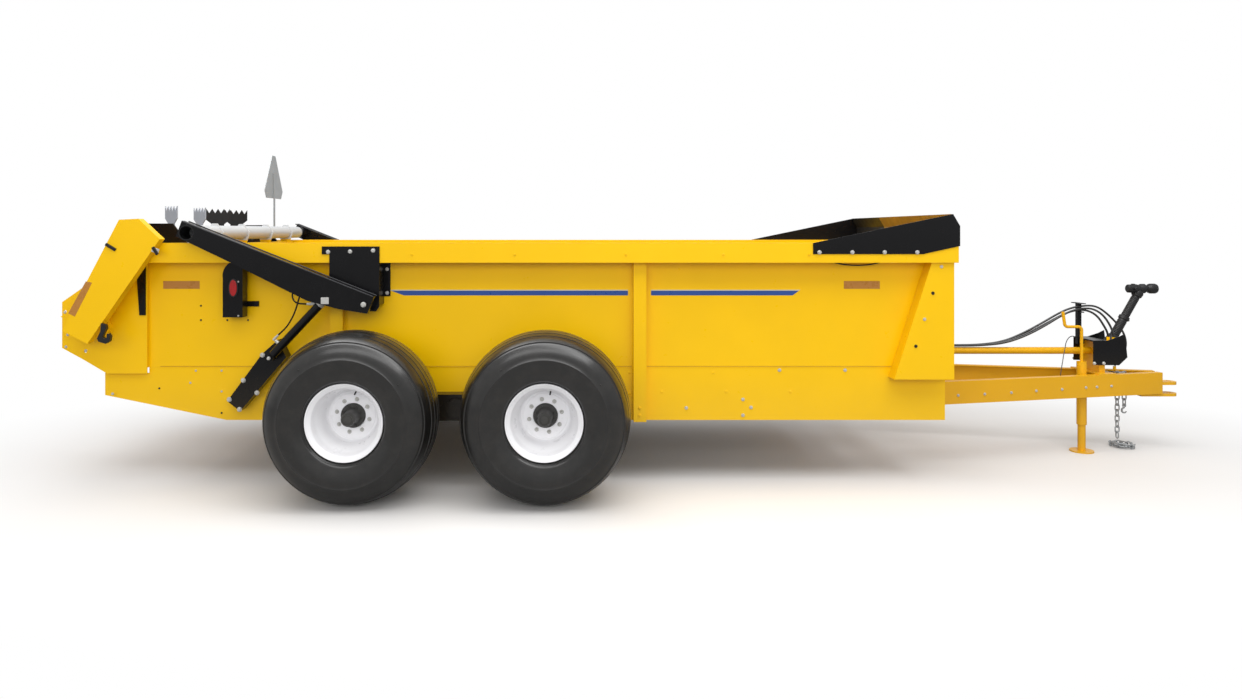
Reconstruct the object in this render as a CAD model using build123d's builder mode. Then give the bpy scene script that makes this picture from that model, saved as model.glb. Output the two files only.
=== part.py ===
"""Tandem-axle box manure spreader, parked on its wheels and its drawbar jack.

Millimetres. +X points forward to the hitch, +Y to the left side, +Z up. The origin is on the
ground under the middle of the overall box. The right side is the chain-drive side.
"""
from build123d import *
from math import atan2, cos, degrees, hypot, pi, radians, sin, tan
import os

os.makedirs("parts", exist_ok=True)

# ---- driving dimensions -------------------------------------------------------------------
hitch_nose_x = 3979
sheet = 6               # thickness of folded side and frame sheets
seat_gap = 0.3          # gap left between round faces that seat on each other
pin_gap = 0.4           # radial running gap of pins, rods and hubs

# load box
box_half_width = 870    # outer face of the side panels
wall = 30               # side panel and front wall, steel skin and plastic liner together
floor_top = 750
floor_thickness = 8
floor_rear_x = -3175
floor_front_x = 1290
panel_rear_x = -3373
rail_overhang = 130     # from a side panel's outer face to the rail's
rail_outer_y = box_half_width + rail_overhang
rail_bottom_z = 1446
rail_height = 120
rail_rear_x = -3312
rail_front_x = 1894
sill_bottom_z = 402
sill_front_x = 1860
sill_flange = 44
post_width = 83
post_depth = 60
post_outer_y = box_half_width + post_depth
post_x_list = (-2127, -150)
front_foot_x = 1486     # front wall face at the height of the gusset's foot
front_foot_z = 687
front_slope = 0.322     # how far the front wall leans forward per unit of height
gusset_front_x = 1873
gusset_depth = 110
gusset_outer_y = box_half_width + gusset_depth
gusset_top_z = 1442
gusset_hole_radius = 9

# running gear
tyre_radius = 520
tyre_width = 546
wheel_offset = 410      # from a side panel to the middle plane of its tyres
wheel_y = box_half_width + wheel_offset
tandem_x = -1338
axle_spacing = 1173
rim_radius = 230
bead_radius = 205
well_radius = 168
rim_width = 440
rim_wall = 8
disc_recess = 226       # wheel disc behind the outer rim flange
disc_thickness = 12
hub_radius = 74
cap_radius = 40
cap_reach = 118
spindle_radius = 38
beam_clearance = 20
beam_thickness = 100
beam_inner_y = box_half_width + beam_clearance
beam_outer_y = beam_inner_y + beam_thickness
beam_depth = 168
axle_tube_radius = 55
pivot_z = 508

# drawbar and hitch
drawbar_z = 500
drawbar_depth = 160
drawbar_flange = 50
drawbar_web = 8
drawbar_rear_x = 768
drawbar_setback = 135   # from the hitch nose back to the beams' front ends
drawbar_front_x = hitch_nose_x - drawbar_setback
drawbar_front_y = 61    # outer face of the web at the front end
drawbar_slope = 0.22
hitch_pin_radius = 17
tongue_half_width = 50
tongue_thickness = 22
tongue_upper_z = 484
tongue_lower_z = 398

# beaters
main_beater_tip = 317     # radius of the tooth tips
main_beater_x = -3662
main_beater_z = 1012
upper_beater_lead = 315   # how far the upper shaft lies ahead of the main one
upper_beater_x = main_beater_x + upper_beater_lead
upper_beater_z = 1575
upper_beater_tip = 241
beater_core_radius = 57
beater_shaft_radius = 25
beater_plate_offset = 30  # from a side panel to the outer face of its beater plate
beater_plate_y = box_half_width + beater_plate_offset

# endgate
gate_pivot_x = -1899.5
gate_pivot_z = 1183
gate_pin_radius = 20
gate_tube_x = -3015
gate_tube_z = 1634
gate_tube_radius = 48
gate_tube_wall = 6
gate_bottom_z = 812
gate_thickness = 36
gate_clearance = 18
gate_half_width = box_half_width - wall - gate_clearance
arm_clearance = 83      # from a rail's outer face to its gate arm
arm_width = 42
arm_inner_y = rail_outer_y + arm_clearance
arm_outer_y = arm_inner_y + arm_width
arm_web = 8
cylinder_offset = 48    # from a rail's outer face to the cylinder's middle line
cylinder_y = rail_outer_y + cylinder_offset
cylinder_base_x = -2516
cylinder_base_z = 837
cylinder_closed = 545
cylinder_angle = 46.8
barrel_radius = 27.5
rod_radius = 16
cylinder_pin_radius = 13

# jack and front drive
jack_x = 3206
jack_y = -108
jack_tube_radius = 34
jack_leg_radius = 27
jack_foot_radius = 82
jack_tube_bottom_z = 202
jack_tube_top_z = 671
driveline_z = 738
driveline_radius = 26
pto_pivot_x = 3451
pto_angle = 60.6
pto_length = 539.5
pto_tube_radius = 36
shield_half_width = 130

# sizes that follow
panel_inner_y = box_half_width - wall
floor_bottom_z = floor_top - floor_thickness
rail_top_z = rail_bottom_z + rail_height
sill_inner_y = box_half_width - sheet
front_wheel_x = tandem_x + axle_spacing / 2
rear_wheel_x = tandem_x - axle_spacing / 2
drawbar_bottom_z = drawbar_z - drawbar_depth / 2
drawbar_top_z = drawbar_z + drawbar_depth / 2


def wall_x(z):
    """Front face of the leaning front wall at height z."""
    return front_foot_x + front_slope * (z - front_foot_z)


def drawbar_y(x):
    """Outer face of a drawbar beam at x."""
    return drawbar_front_y + drawbar_slope * (drawbar_front_x - x)


def plate_y(points, y_low, y_high, mode=Mode.ADD):
    """Extrude an outline of (x, z) corners between two Y planes into the open part."""
    with BuildSketch(Plane.XZ.offset(-y_high)) as outline:
        with BuildLine():
            Polyline(*points, close=True)
        make_face()
    extrude(outline.sketch, amount=y_high - y_low, mode=mode)


def plate_x(points, x_low, x_high, mode=Mode.ADD):
    """Extrude an outline of (y, z) corners between two X planes into the open part."""
    with BuildSketch(Plane.YZ.offset(x_low)) as outline:
        with BuildLine():
            Polyline(*points, close=True)
        make_face()
    extrude(outline.sketch, amount=x_high - x_low, mode=mode)


def plate_z(points, z_low, z_high, mode=Mode.ADD):
    """Extrude an outline of (x, y) corners between two Z planes into the open part."""
    with BuildSketch(Plane.XY.offset(z_low)) as outline:
        with BuildLine():
            Polyline(*points, close=True)
        make_face()
    extrude(outline.sketch, amount=z_high - z_low, mode=mode)


def block(x_span, y_span, z_span, mode=Mode.ADD):
    """Straight block between three pairs of limits."""
    corners = [(x_span[0], z_span[0]), (x_span[1], z_span[0]), (x_span[1], z_span[1]), (x_span[0], z_span[1])]
    plate_y(corners, y_span[0], y_span[1], mode)


def round_bar(start, end, radius, mode=Mode.ADD):
    """Round bar from one point to another."""
    run = Vector(*end) - Vector(*start)
    with BuildSketch(Plane(origin=start, z_dir=run)) as section:
        Circle(radius)
    extrude(section.sketch, amount=run.length, mode=mode)


def save(builder, name):
    """Label a finished piece and write its STEP file."""
    builder.part.label = name
    export_step(builder.part, f"parts/{name}.step")


def save_mirrored(builder, name):
    """Write the left-hand twin of a right-hand piece."""
    with BuildPart() as twin:
        mirror(builder.part, about=Plane.XZ)
    save(twin, name)


# ---- load box -----------------------------------------------------------------------------
with BuildPart() as box_floor:
    block((floor_rear_x, floor_front_x), (-panel_inner_y, panel_inner_y), (floor_bottom_z, floor_top))
save(box_floor, "box_floor")

panel_front_low = wall_x(floor_top)
panel_front_high = wall_x(rail_bottom_z)
with BuildPart() as side_panel:
    plate_y(
        [
            (panel_rear_x, floor_top),
            (panel_front_low, floor_top),
            (panel_front_high, rail_bottom_z),
            (panel_rear_x, rail_bottom_z),
        ],
        -box_half_width,
        -panel_inner_y,
    )
save(side_panel, "side_panel_right")
save_mirrored(side_panel, "side_panel_left")

with BuildPart() as top_rails:
    block((rail_rear_x, rail_front_x), (-rail_outer_y, -panel_inner_y), (rail_bottom_z, rail_top_z))
    mirror(about=Plane.XZ)
save(top_rails, "top_rails")

# lower side sheets: tail raised at the rear, foot folded inwards
tail_x = -3664
tail_low_z = 566
tail_high_z = 712
tail_rise_x = -2864
with BuildPart() as lower_sills:
    plate_y(
        [
            (tail_x, tail_low_z),
            (tail_rise_x, sill_bottom_z),
            (sill_front_x, sill_bottom_z),
            (sill_front_x, front_foot_z - seat_gap),
            (panel_front_low, front_foot_z - seat_gap),
            (panel_front_low, floor_top - seat_gap),
            (panel_rear_x, floor_top - seat_gap),
            (panel_rear_x, tail_high_z),
            (tail_x, tail_high_z),
        ],
        -box_half_width,
        -sill_inner_y,
    )
    block((tail_rise_x, sill_front_x), (-sill_inner_y, -sill_inner_y + sill_flange), (sill_bottom_z, sill_bottom_z + sheet))
    round_bar(
        (tandem_x, -box_half_width, pivot_z),
        (tandem_x, -sill_inner_y, pivot_z),
        axle_tube_radius + seat_gap,
        Mode.SUBTRACT,
    )
    mirror(about=Plane.XZ)
save(lower_sills, "lower_sills")

with BuildPart() as side_posts:
    for post_x in post_x_list:
        block(
            (post_x - post_width / 2, post_x + post_width / 2),
            (-post_outer_y, -box_half_width),
            (sill_bottom_z, rail_bottom_z),
        )
    mirror(about=Plane.XZ)
save(side_posts, "side_posts")

wall_top_z = 1500
with BuildPart() as front_wall:
    plate_y(
        [
            (wall_x(front_foot_z) - wall, front_foot_z),
            (wall_x(front_foot_z), front_foot_z),
            (wall_x(wall_top_z), wall_top_z),
            (wall_x(wall_top_z) - wall, wall_top_z),
        ],
        -panel_inner_y,
        panel_inner_y,
    )
save(front_wall, "front_wall")

gusset_top_x = wall_x(gusset_top_z)
gusset_hole_heights = (1415, 1244, 1076, 902)
gusset_hole_inset = 70
with BuildPart() as front_gussets:
    plate_y(
        [
            (front_foot_x, front_foot_z),
            (gusset_front_x, front_foot_z),
            (gusset_front_x, gusset_top_z),
            (gusset_top_x, gusset_top_z),
        ],
        -gusset_outer_y,
        -gusset_outer_y + sheet,
    )
    plate_y(
        [
            (front_foot_x, front_foot_z),
            (front_foot_x + sheet, front_foot_z),
            (gusset_top_x + sheet, gusset_top_z),
            (gusset_top_x, gusset_top_z),
        ],
        -gusset_outer_y + sheet,
        -box_half_width,
    )
    for hole_z in gusset_hole_heights:
        hole_x = wall_x(hole_z) + gusset_hole_inset
        round_bar(
            (hole_x, -gusset_outer_y, hole_z),
            (hole_x, -gusset_outer_y + sheet, hole_z),
            gusset_hole_radius,
            Mode.SUBTRACT,
        )
    mirror(about=Plane.XZ)
save(front_gussets, "front_gussets")

# raised front extension: black side plates on the rails and a cross panel between them
extension_rear_x = 956
extension_foot_z = 1497
extension_peak = (1855, 1754)
extension_nose = (1900, 1677)
extension_foot_x = 1663
extension_nose_low_z = 1549
with BuildPart() as extension_sides:
    plate_y(
        [
            (extension_rear_x, extension_foot_z),
            (extension_foot_x, extension_foot_z),
            (extension_nose[0], extension_nose_low_z),
            extension_nose,
            extension_peak,
            (extension_rear_x, rail_top_z + 2),
        ],
        -rail_outer_y - sheet,
        -rail_outer_y,
    )
    mirror(about=Plane.XZ)
save(extension_sides, "extension_sides")

panel_rake = (extension_nose[0] - extension_peak[0]) / (extension_peak[1] - extension_nose[1])
with BuildPart() as extension_panel:
    plate_y(
        [
            (extension_nose[0] - 2 * sheet, rail_top_z),
            (extension_nose[0] - sheet, rail_top_z),
            (extension_nose[0] - sheet, extension_nose[1]),
            (extension_peak[0] - sheet, extension_peak[1]),
            (extension_peak[0] - 2 * sheet, extension_peak[1]),
            (extension_nose[0] - 2 * sheet, extension_nose[1]),
        ],
        -rail_outer_y,
        rail_outer_y,
    )
    plate_y(
        [
            (wall_x(wall_top_z), wall_top_z),
            (wall_x(wall_top_z) + sheet, wall_top_z - sheet),
            (extension_nose[0] - sheet, rail_top_z),
            (extension_nose[0] - 2 * sheet, rail_top_z + sheet),
        ],
        -panel_inner_y,
        panel_inner_y,
    )
save(extension_panel, "extension_panel")

# ---- underframe ---------------------------------------------------------------------------
upper_member_x = (-3050, -2330, -1720, -1000, -330, 340, 960)
upper_member_depth = 50
member_width = 70
lower_member_x = (-2960, -2480, -1880, -800, -120, 720)
lower_member_z = (440, 560)
with BuildPart() as floor_bearers:
    for member_x in upper_member_x:
        block(
            (member_x - member_width / 2, member_x + member_width / 2),
            (-sill_inner_y, sill_inner_y),
            (floor_bottom_z - upper_member_depth, floor_bottom_z),
        )
save(floor_bearers, "floor_bearers")

with BuildPart() as cross_members:
    for member_x in lower_member_x:
        block(
            (member_x - member_width / 2, member_x + member_width / 2),
            (-sill_inner_y, sill_inner_y),
            lower_member_z,
        )
        block(
            (member_x - member_width / 2 + sheet, member_x + member_width / 2),
            (-sill_inner_y, sill_inner_y),
            (lower_member_z[0] + sheet, lower_member_z[1] - sheet),
            Mode.SUBTRACT,
        )
save(cross_members, "cross_members")

front_member_x = (1560, 1790)
front_member_depth = 60
line_shaft_z = 585
line_shaft_radius = 18
with BuildPart() as front_members:
    for member_x in front_member_x:
        block(
            (member_x - member_width / 2, member_x + member_width / 2),
            (-sill_inner_y, sill_inner_y),
            (drawbar_top_z, drawbar_top_z + front_member_depth),
        )
    # notch that lets the line shaft through
    block(
        (front_member_x[0] - member_width, front_member_x[0] + member_width / 2),
        (-line_shaft_radius - sheet, line_shaft_radius + sheet),
        (drawbar_top_z, line_shaft_z + line_shaft_radius + sheet),
        Mode.SUBTRACT,
    )
save(front_members, "front_members")

# ---- drawbar ------------------------------------------------------------------------------
drawbar_rear = Vector(drawbar_rear_x, -drawbar_y(drawbar_rear_x), drawbar_z)
drawbar_nose = Vector(drawbar_front_x, -drawbar_front_y, drawbar_z)
drawbar_run = drawbar_nose - drawbar_rear
drawbar_plane = Plane(origin=drawbar_rear, x_dir=(0, 0, 1), z_dir=drawbar_run)
with BuildPart() as drawbar_beam:
    # section: local x is up and the flanges turn in towards the middle of the machine
    with BuildSketch(drawbar_plane) as section:
        with BuildLine():
            Polyline(
                (-drawbar_depth / 2, 0),
                (drawbar_depth / 2, 0),
                (drawbar_depth / 2, -drawbar_flange),
                (drawbar_depth / 2 - drawbar_web, -drawbar_flange),
                (drawbar_depth / 2 - drawbar_web, -drawbar_web),
                (-drawbar_depth / 2 + drawbar_web, -drawbar_web),
                (-drawbar_depth / 2 + drawbar_web, -drawbar_flange),
                (-drawbar_depth / 2, -drawbar_flange),
                close=True,
            )
        make_face()
    extrude(section.sketch, amount=drawbar_run.length)
save(drawbar_beam, "drawbar_beam_right")
save_mirrored(drawbar_beam, "drawbar_beam_left")

# upper and lower hitch tongues, joined by a nose block between the beams
tongue_rear_x = drawbar_front_x - 154
nose_block_x = (tongue_rear_x, drawbar_front_x - 44)
nose_block_half_width = 18
tongue_center_x = hitch_nose_x - tongue_half_width
with BuildPart() as hitch_tongues:
    for tongue_z in (tongue_lower_z, tongue_upper_z):
        with BuildSketch(Plane.XY.offset(tongue_z)) as tongue:
            with BuildLine():
                Polyline(
                    (tongue_center_x, -tongue_half_width),
                    (tongue_rear_x, -tongue_half_width),
                    (tongue_rear_x, tongue_half_width),
                    (tongue_center_x, tongue_half_width),
                )
                ThreePointArc(
                    (tongue_center_x, tongue_half_width),
                    (hitch_nose_x, 0),
                    (tongue_center_x, -tongue_half_width),
                )
            make_face()
        extrude(tongue.sketch, amount=tongue_thickness)
    block(
        nose_block_x,
        (-nose_block_half_width, nose_block_half_width),
        (tongue_lower_z + tongue_thickness + seat_gap, tongue_upper_z - seat_gap),
    )
    round_bar(
        (tongue_center_x, 0, tongue_lower_z),
        (tongue_center_x, 0, tongue_upper_z + tongue_thickness),
        hitch_pin_radius,
        Mode.SUBTRACT,
    )
save(hitch_tongues, "hitch_tongues")

# ---- running gear -------------------------------------------------------------------------
saddle_half_length = 130
saddle_thickness = 24
with BuildPart() as axle_tube:
    round_bar((tandem_x, -beam_outer_y, pivot_z), (tandem_x, beam_outer_y, pivot_z), axle_tube_radius)
    for side in (-1, 1):
        saddle_inner = side * (sill_inner_y - saddle_thickness)
        y_span = sorted((saddle_inner, side * sill_inner_y))
        plate_y(
            [
                (tandem_x - saddle_half_length, floor_bottom_z - seat_gap),
                (tandem_x - axle_tube_radius, pivot_z - axle_tube_radius),
                (tandem_x + axle_tube_radius, pivot_z - axle_tube_radius),
                (tandem_x + saddle_half_length, floor_bottom_z - seat_gap),
            ],
            y_span[0],
            y_span[1],
        )
save(axle_tube, "axle_tube")

beam_end_radius = 72
pivot_collar_radius = 80
collar_width = 32
collar_reach = beam_outer_y + collar_width
hub_inner_y = 1150
spindle_end_y = 1262
with BuildPart() as walking_beams:
    plate_y(
        [
            (rear_wheel_x, tyre_radius - beam_end_radius),
            (tandem_x - axle_spacing / 5, pivot_z - beam_depth / 2),
            (tandem_x + axle_spacing / 5, pivot_z - beam_depth / 2),
            (front_wheel_x, tyre_radius - beam_end_radius),
            (front_wheel_x, tyre_radius + beam_end_radius),
            (tandem_x + axle_spacing / 5, pivot_z + beam_depth / 2),
            (tandem_x - axle_spacing / 5, pivot_z + beam_depth / 2),
            (rear_wheel_x, tyre_radius + beam_end_radius),
        ],
        -beam_outer_y,
        -beam_inner_y,
    )
    for axle_x in (rear_wheel_x, front_wheel_x):
        round_bar((axle_x, -beam_inner_y, tyre_radius), (axle_x, -beam_outer_y, tyre_radius), beam_end_radius)
        round_bar(
            (axle_x, -beam_outer_y - seat_gap, tyre_radius),
            (axle_x, -spindle_end_y, tyre_radius),
            spindle_radius,
        )
    round_bar(
        (tandem_x, -box_half_width, pivot_z),
        (tandem_x, -beam_inner_y, pivot_z),
        pivot_collar_radius,
    )
    round_bar(
        (tandem_x, -box_half_width, pivot_z),
        (tandem_x, -beam_outer_y, pivot_z),
        axle_tube_radius + seat_gap,
        Mode.SUBTRACT,
    )
    round_bar(
        (tandem_x, -beam_outer_y - seat_gap, pivot_z),
        (tandem_x, -collar_reach, pivot_z),
        axle_tube_radius + sheet,
    )
    mirror(about=Plane.XZ)
save(walking_beams, "walking_beams")

# tyre section: one arc for each sidewall and one for the crown, meeting smoothly at the shoulders
bead_half = rim_width / 2 - 24
bead_heel_rise = 4
bulge_radius = 350
sidewall_arc = 150
shoulder_turn = radians(71.2)
wall_foot_radius = 262
tyre_half = tyre_width / 2
sidewall_center = tyre_half - sidewall_arc
wall_foot_half = sidewall_center + (sidewall_arc**2 - (bulge_radius - wall_foot_radius) ** 2) ** 0.5
shoulder_radius = bulge_radius + sidewall_arc * sin(shoulder_turn)
shoulder_half = sidewall_center + sidewall_arc * cos(shoulder_turn)


def tyre(axle_x, side):
    """Crowned flotation tyre on one axle, as a full ring from bead to tread."""
    with BuildPart() as ring:
        # local x is the radius and local y runs along the axle
        plane = Plane(origin=(axle_x, side * wheel_y, tyre_radius), x_dir=(0, 0, 1), z_dir=(1, 0, 0))
        with BuildSketch(plane) as section:
            with BuildLine():
                Polyline(
                    (wall_foot_radius, -wall_foot_half),
                    (rim_radius, -bead_half - bead_heel_rise),
                    (bead_radius, -bead_half),
                    (bead_radius, bead_half),
                    (rim_radius, bead_half + bead_heel_rise),
                    (wall_foot_radius, wall_foot_half),
                )
                ThreePointArc(
                    (wall_foot_radius, wall_foot_half), (bulge_radius, tyre_half), (shoulder_radius, shoulder_half)
                )
                ThreePointArc(
                    (shoulder_radius, shoulder_half), (tyre_radius, 0), (shoulder_radius, -shoulder_half)
                )
                ThreePointArc(
                    (shoulder_radius, -shoulder_half),
                    (bulge_radius, -tyre_half),
                    (wall_foot_radius, -wall_foot_half),
                )
            make_face()
        revolve(section.sketch, axis=Axis((axle_x, 0, tyre_radius), (0, 1, 0)))
    return ring


def wheel(axle_x, side):
    """Rim, recessed disc and hub, bored for the spindle. side is -1 on the right."""
    half = rim_width / 2
    disc_out = half - disc_recess
    disc_in = disc_out - disc_thickness
    hub_in = hub_inner_y - wheel_y
    bore = spindle_radius + pin_gap
    bore_end = spindle_end_y - wheel_y + pin_gap
    with BuildPart() as rim:
        # local x is the radius and local y points outboard
        plane = Plane(origin=(axle_x, side * wheel_y, tyre_radius), x_dir=(0, 0, 1), z_dir=(-side, 0, 0))
        with BuildSketch(plane) as section:
            with BuildLine():
                Polyline(
                    (rim_radius, half),
                    (rim_radius, half - rim_wall),
                    (bead_radius - seat_gap, half - 3 * rim_wall),
                    (bead_radius - seat_gap, half - 8 * rim_wall),
                    (well_radius, half - 12 * rim_wall),
                    (well_radius, 12 * rim_wall - half),
                    (bead_radius - seat_gap, 8 * rim_wall - half),
                    (bead_radius - seat_gap, 3 * rim_wall - half),
                    (rim_radius, rim_wall - half),
                    (rim_radius, -half),
                    (bead_radius - rim_wall, 2 * rim_wall - half),
                    (bead_radius - rim_wall, 8 * rim_wall - half),
                    (well_radius - rim_wall, 12 * rim_wall - half),
                    (well_radius - rim_wall, disc_in),
                    (hub_radius, disc_in),
                    (hub_radius, hub_in),
                    (bore, hub_in),
                    (bore, bore_end),
                    (0, bore_end),
                    (0, disc_out + cap_reach),
                    (cap_radius - 8, disc_out + cap_reach),
                    (cap_radius, disc_out + cap_reach - 8),
                    (cap_radius, disc_out + cap_reach / 2),
                    (hub_radius - 12, disc_out + cap_reach / 2),
                    (hub_radius, disc_out + cap_reach / 2 - 12),
                    (hub_radius, disc_out),
                    (well_radius - rim_wall, disc_out),
                    (well_radius - rim_wall, half - 12 * rim_wall),
                    (bead_radius - rim_wall, half - 8 * rim_wall),
                    (bead_radius - rim_wall, half - 2 * rim_wall),
                    close=True,
                )
            make_face()
        revolve(section.sketch, axis=Axis((axle_x, 0, tyre_radius), (0, 1, 0)))
    return rim


# one row per wheel: name, axle position, side
wheel_table = (
    ("front_right", front_wheel_x, -1),
    ("front_left", front_wheel_x, 1),
    ("rear_right", rear_wheel_x, -1),
    ("rear_left", rear_wheel_x, 1),
)
for place, axle_x, side in wheel_table:
    save(tyre(axle_x, side), f"tyre_{place}")
    save(wheel(axle_x, side), f"wheel_{place}")

# ---- beaters ------------------------------------------------------------------------------
plate_tail_x = -3929
bearing_radius = 62
bearing_reach = 34
# outline of a beater side plate: (x, z)
beater_plate_outline = (
    (plate_tail_x, 880),
    (-3785, 801),
    (-3635, tail_high_z + seat_gap),
    (panel_rear_x, tail_high_z + seat_gap),
    (panel_rear_x, rail_bottom_z),
    (-3510, rail_bottom_z),
    (-3779, 1285),
    (plate_tail_x, 1180),
)
plate_hole_table = ((-3908, 1118), (-3892, 967), (-3904, 888), (-3776, 857))
with BuildPart() as beater_plates:
    plate_y(beater_plate_outline, -beater_plate_y, -beater_plate_y + sheet)
    for hole_x, hole_z in plate_hole_table:
        round_bar(
            (hole_x, -beater_plate_y, hole_z),
            (hole_x, -beater_plate_y + sheet, hole_z),
            gusset_hole_radius,
            Mode.SUBTRACT,
        )
    # flange that turns in to the rear edge of the side panel
    block(
        (panel_rear_x - sheet, panel_rear_x),
        (-beater_plate_y + sheet, -panel_inner_y),
        (floor_top, rail_bottom_z),
    )
    round_bar(
        (main_beater_x, -beater_plate_y - bearing_reach, main_beater_z),
        (main_beater_x, -beater_plate_y, main_beater_z),
        bearing_radius,
    )
    round_bar(
        (main_beater_x, -beater_plate_y - bearing_reach, main_beater_z),
        (main_beater_x, -beater_plate_y + sheet, main_beater_z),
        beater_shaft_radius + pin_gap,
        Mode.SUBTRACT,
    )
    mirror(about=Plane.XZ)
save(beater_plates, "beater_plates")

# upper beater brackets: plate inside each rail, tied back to a strut on the beater plate
bracket_thickness = 10
bracket_outer_y = panel_inner_y
bracket_inner_y = bracket_outer_y - bracket_thickness
strut_outer_y = beater_plate_y + bracket_thickness
tie_z = (1520, 1560)
upper_bearing_radius = 52
with BuildPart() as beater_brackets:
    plate_y(
        [(-3440, 1470), (-3150, 1470), (-3136, rail_top_z), (-3233, 1695), (-3400, 1695), (-3440, 1640)],
        -bracket_outer_y,
        -bracket_inner_y,
    )
    plate_y([(-3451, tie_z[1]), (-3419, 1095), (-3380, 1095), (-3380, tie_z[1])], -strut_outer_y, -beater_plate_y)
    block((-3440, -3380), (-strut_outer_y, -bracket_outer_y), tie_z)
    round_bar(
        (upper_beater_x, -bracket_inner_y, upper_beater_z),
        (upper_beater_x, bearing_reach - bracket_inner_y, upper_beater_z),
        upper_bearing_radius,
    )
    round_bar(
        (upper_beater_x, -bracket_outer_y, upper_beater_z),
        (upper_beater_x, bearing_reach - bracket_inner_y, upper_beater_z),
        beater_shaft_radius + pin_gap,
        Mode.SUBTRACT,
    )
    mirror(about=Plane.XZ)
save(beater_brackets, "beater_brackets")

paddle_half_width = 88
paddle_foot_half = 45
paddle_thickness = 8
tooth_depth = 34
tooth_count = 4
foot_sink = 10
shoulder_drop = 85


def paddle_outline(tip):
    """Outline of one serrated paddle: (across, out from the shaft's axis)."""
    pitch = 2 * paddle_half_width / tooth_count
    points = [
        (-paddle_foot_half, beater_core_radius - foot_sink),
        (-paddle_foot_half, tip - shoulder_drop - tooth_depth),
        (-paddle_half_width, tip - shoulder_drop),
    ]
    for tooth in range(tooth_count):
        left = tooth * pitch - paddle_half_width
        points += [(left, tip), (left + pitch / 2, tip - tooth_depth)]
    points += [
        (paddle_half_width, tip),
        (paddle_half_width, tip - shoulder_drop),
        (paddle_foot_half, tip - shoulder_drop - tooth_depth),
        (paddle_foot_half, beater_core_radius - foot_sink),
    ]
    return points


def beater(x, z, tip, core_half, shaft_half, rows):
    """Tube on a through shaft, with serrated paddles set in opposite-handed spirals."""
    with BuildPart() as rotor:
        round_bar((x, -core_half, z), (x, core_half, z), beater_core_radius)
        round_bar((x, -shaft_half[0], z), (x, shaft_half[1], z), beater_shaft_radius)
        for first_y, step_y, count, first_turn, turn_step, twist, starts in rows:
            for index in range(count):
                for start in range(starts):
                    turn = radians(first_turn + index * turn_step + start * 360 / starts)
                    outward = Vector(cos(turn), 0, sin(turn))
                    around = Vector(-sin(turn), 0, cos(turn))
                    across = around * cos(radians(twist)) + Vector(0, 1, 0) * sin(radians(twist))
                    plane = Plane(
                        origin=(x, first_y + index * step_y, z), x_dir=across, z_dir=across.cross(outward)
                    )
                    with BuildSketch(plane) as blade:
                        with BuildLine():
                            Polyline(*paddle_outline(tip), close=True)
                        make_face()
                    extrude(blade.sketch, amount=paddle_thickness / 2, both=True)
    return rotor


# rows of paddles: first y, step, count, first turn and step in degrees, twist, starts
upper_rows = ((-730, 110, 7, 0, 90, 40, 1), (52, 88, 8, 180, -90, -40, 1))
main_rows = ((-775, 110, 7, 180, 60, 40, 2), (115, 110, 7, 60, -60, -40, 2))
upper_core_half = bracket_inner_y - bearing_reach - 6
upper_beater = beater(
    upper_beater_x,
    upper_beater_z,
    upper_beater_tip,
    upper_core_half,
    (bracket_outer_y + 110, bracket_outer_y),
    upper_rows,
)
save(upper_beater, "upper_beater")
main_core_half = beater_plate_y - sheet - 6
main_beater = beater(
    main_beater_x,
    main_beater_z,
    main_beater_tip,
    main_core_half,
    (beater_plate_y + bearing_reach + 60, beater_plate_y + bearing_reach),
    main_rows,
)
save(main_beater, "main_beater")

# chain guard on the right side: folded cover with open back, on three stand-offs
guard_outer_y = 1070
guard_inner_y = 1003
guard_sheet = 4
guard_outline = ((-3466, 1717), (-3344, 1723), (-3207, 1594), (-3667, 929), (-3826, 1011), (-3684, 1298))
standoff_radius = 12
standoff_table = ((-3745, 1110), (-3590, 1120), (-3560, 1360))
with BuildPart() as chain_guard:
    with BuildSketch(Plane.XZ.offset(guard_inner_y)) as guard_face:
        with BuildLine():
            Polyline(*guard_outline, close=True)
        make_face()
    extrude(guard_face.sketch, amount=guard_outer_y - guard_inner_y)
    with BuildSketch(Plane.XZ.offset(guard_inner_y)) as guard_hollow:
        add(guard_face.sketch_local)
        offset(amount=-guard_sheet, kind=Kind.INTERSECTION, mode=Mode.REPLACE)
    extrude(guard_hollow.sketch, amount=guard_outer_y - guard_inner_y - guard_sheet, mode=Mode.SUBTRACT)
    for post_x, post_z in standoff_table:
        round_bar((post_x, -beater_plate_y, post_z), (post_x, guard_sheet - guard_outer_y, post_z), standoff_radius)
save(chain_guard, "chain_guard")

# ---- endgate ------------------------------------------------------------------------------
hanger_face_y = rail_outer_y + 10
pin_head_radius = 24
pin_head = 8
with BuildPart() as gate_hangers:
    plate_y(
        [(-2197, 1546), (-2197, 1496), (-2149, 1496), (-2149, 1230), (-1960, 1130), (-1850, 1130), (-1828, 1160), (-1828, 1546)],
        -hanger_face_y,
        -rail_outer_y,
    )
    block((-1834, -1828), (-rail_outer_y, -box_half_width), (1170, rail_bottom_z))
    block((-1828, -1786), (-box_half_width - sheet, -box_half_width), (1217, 1438))
    block((-2149, -2143), (-rail_outer_y, -post_outer_y), (1250, rail_bottom_z))
    # the pivot pins stand just off their plates, as separate solids
    round_bar(
        (gate_pivot_x, -hanger_face_y - seat_gap, gate_pivot_z),
        (gate_pivot_x, -arm_outer_y - pin_gap, gate_pivot_z),
        gate_pin_radius,
    )
    round_bar(
        (gate_pivot_x, -arm_outer_y - pin_gap, gate_pivot_z),
        (gate_pivot_x, -arm_outer_y - pin_gap - pin_head, gate_pivot_z),
        pin_head_radius,
    )
    mirror(about=Plane.XZ)
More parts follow.
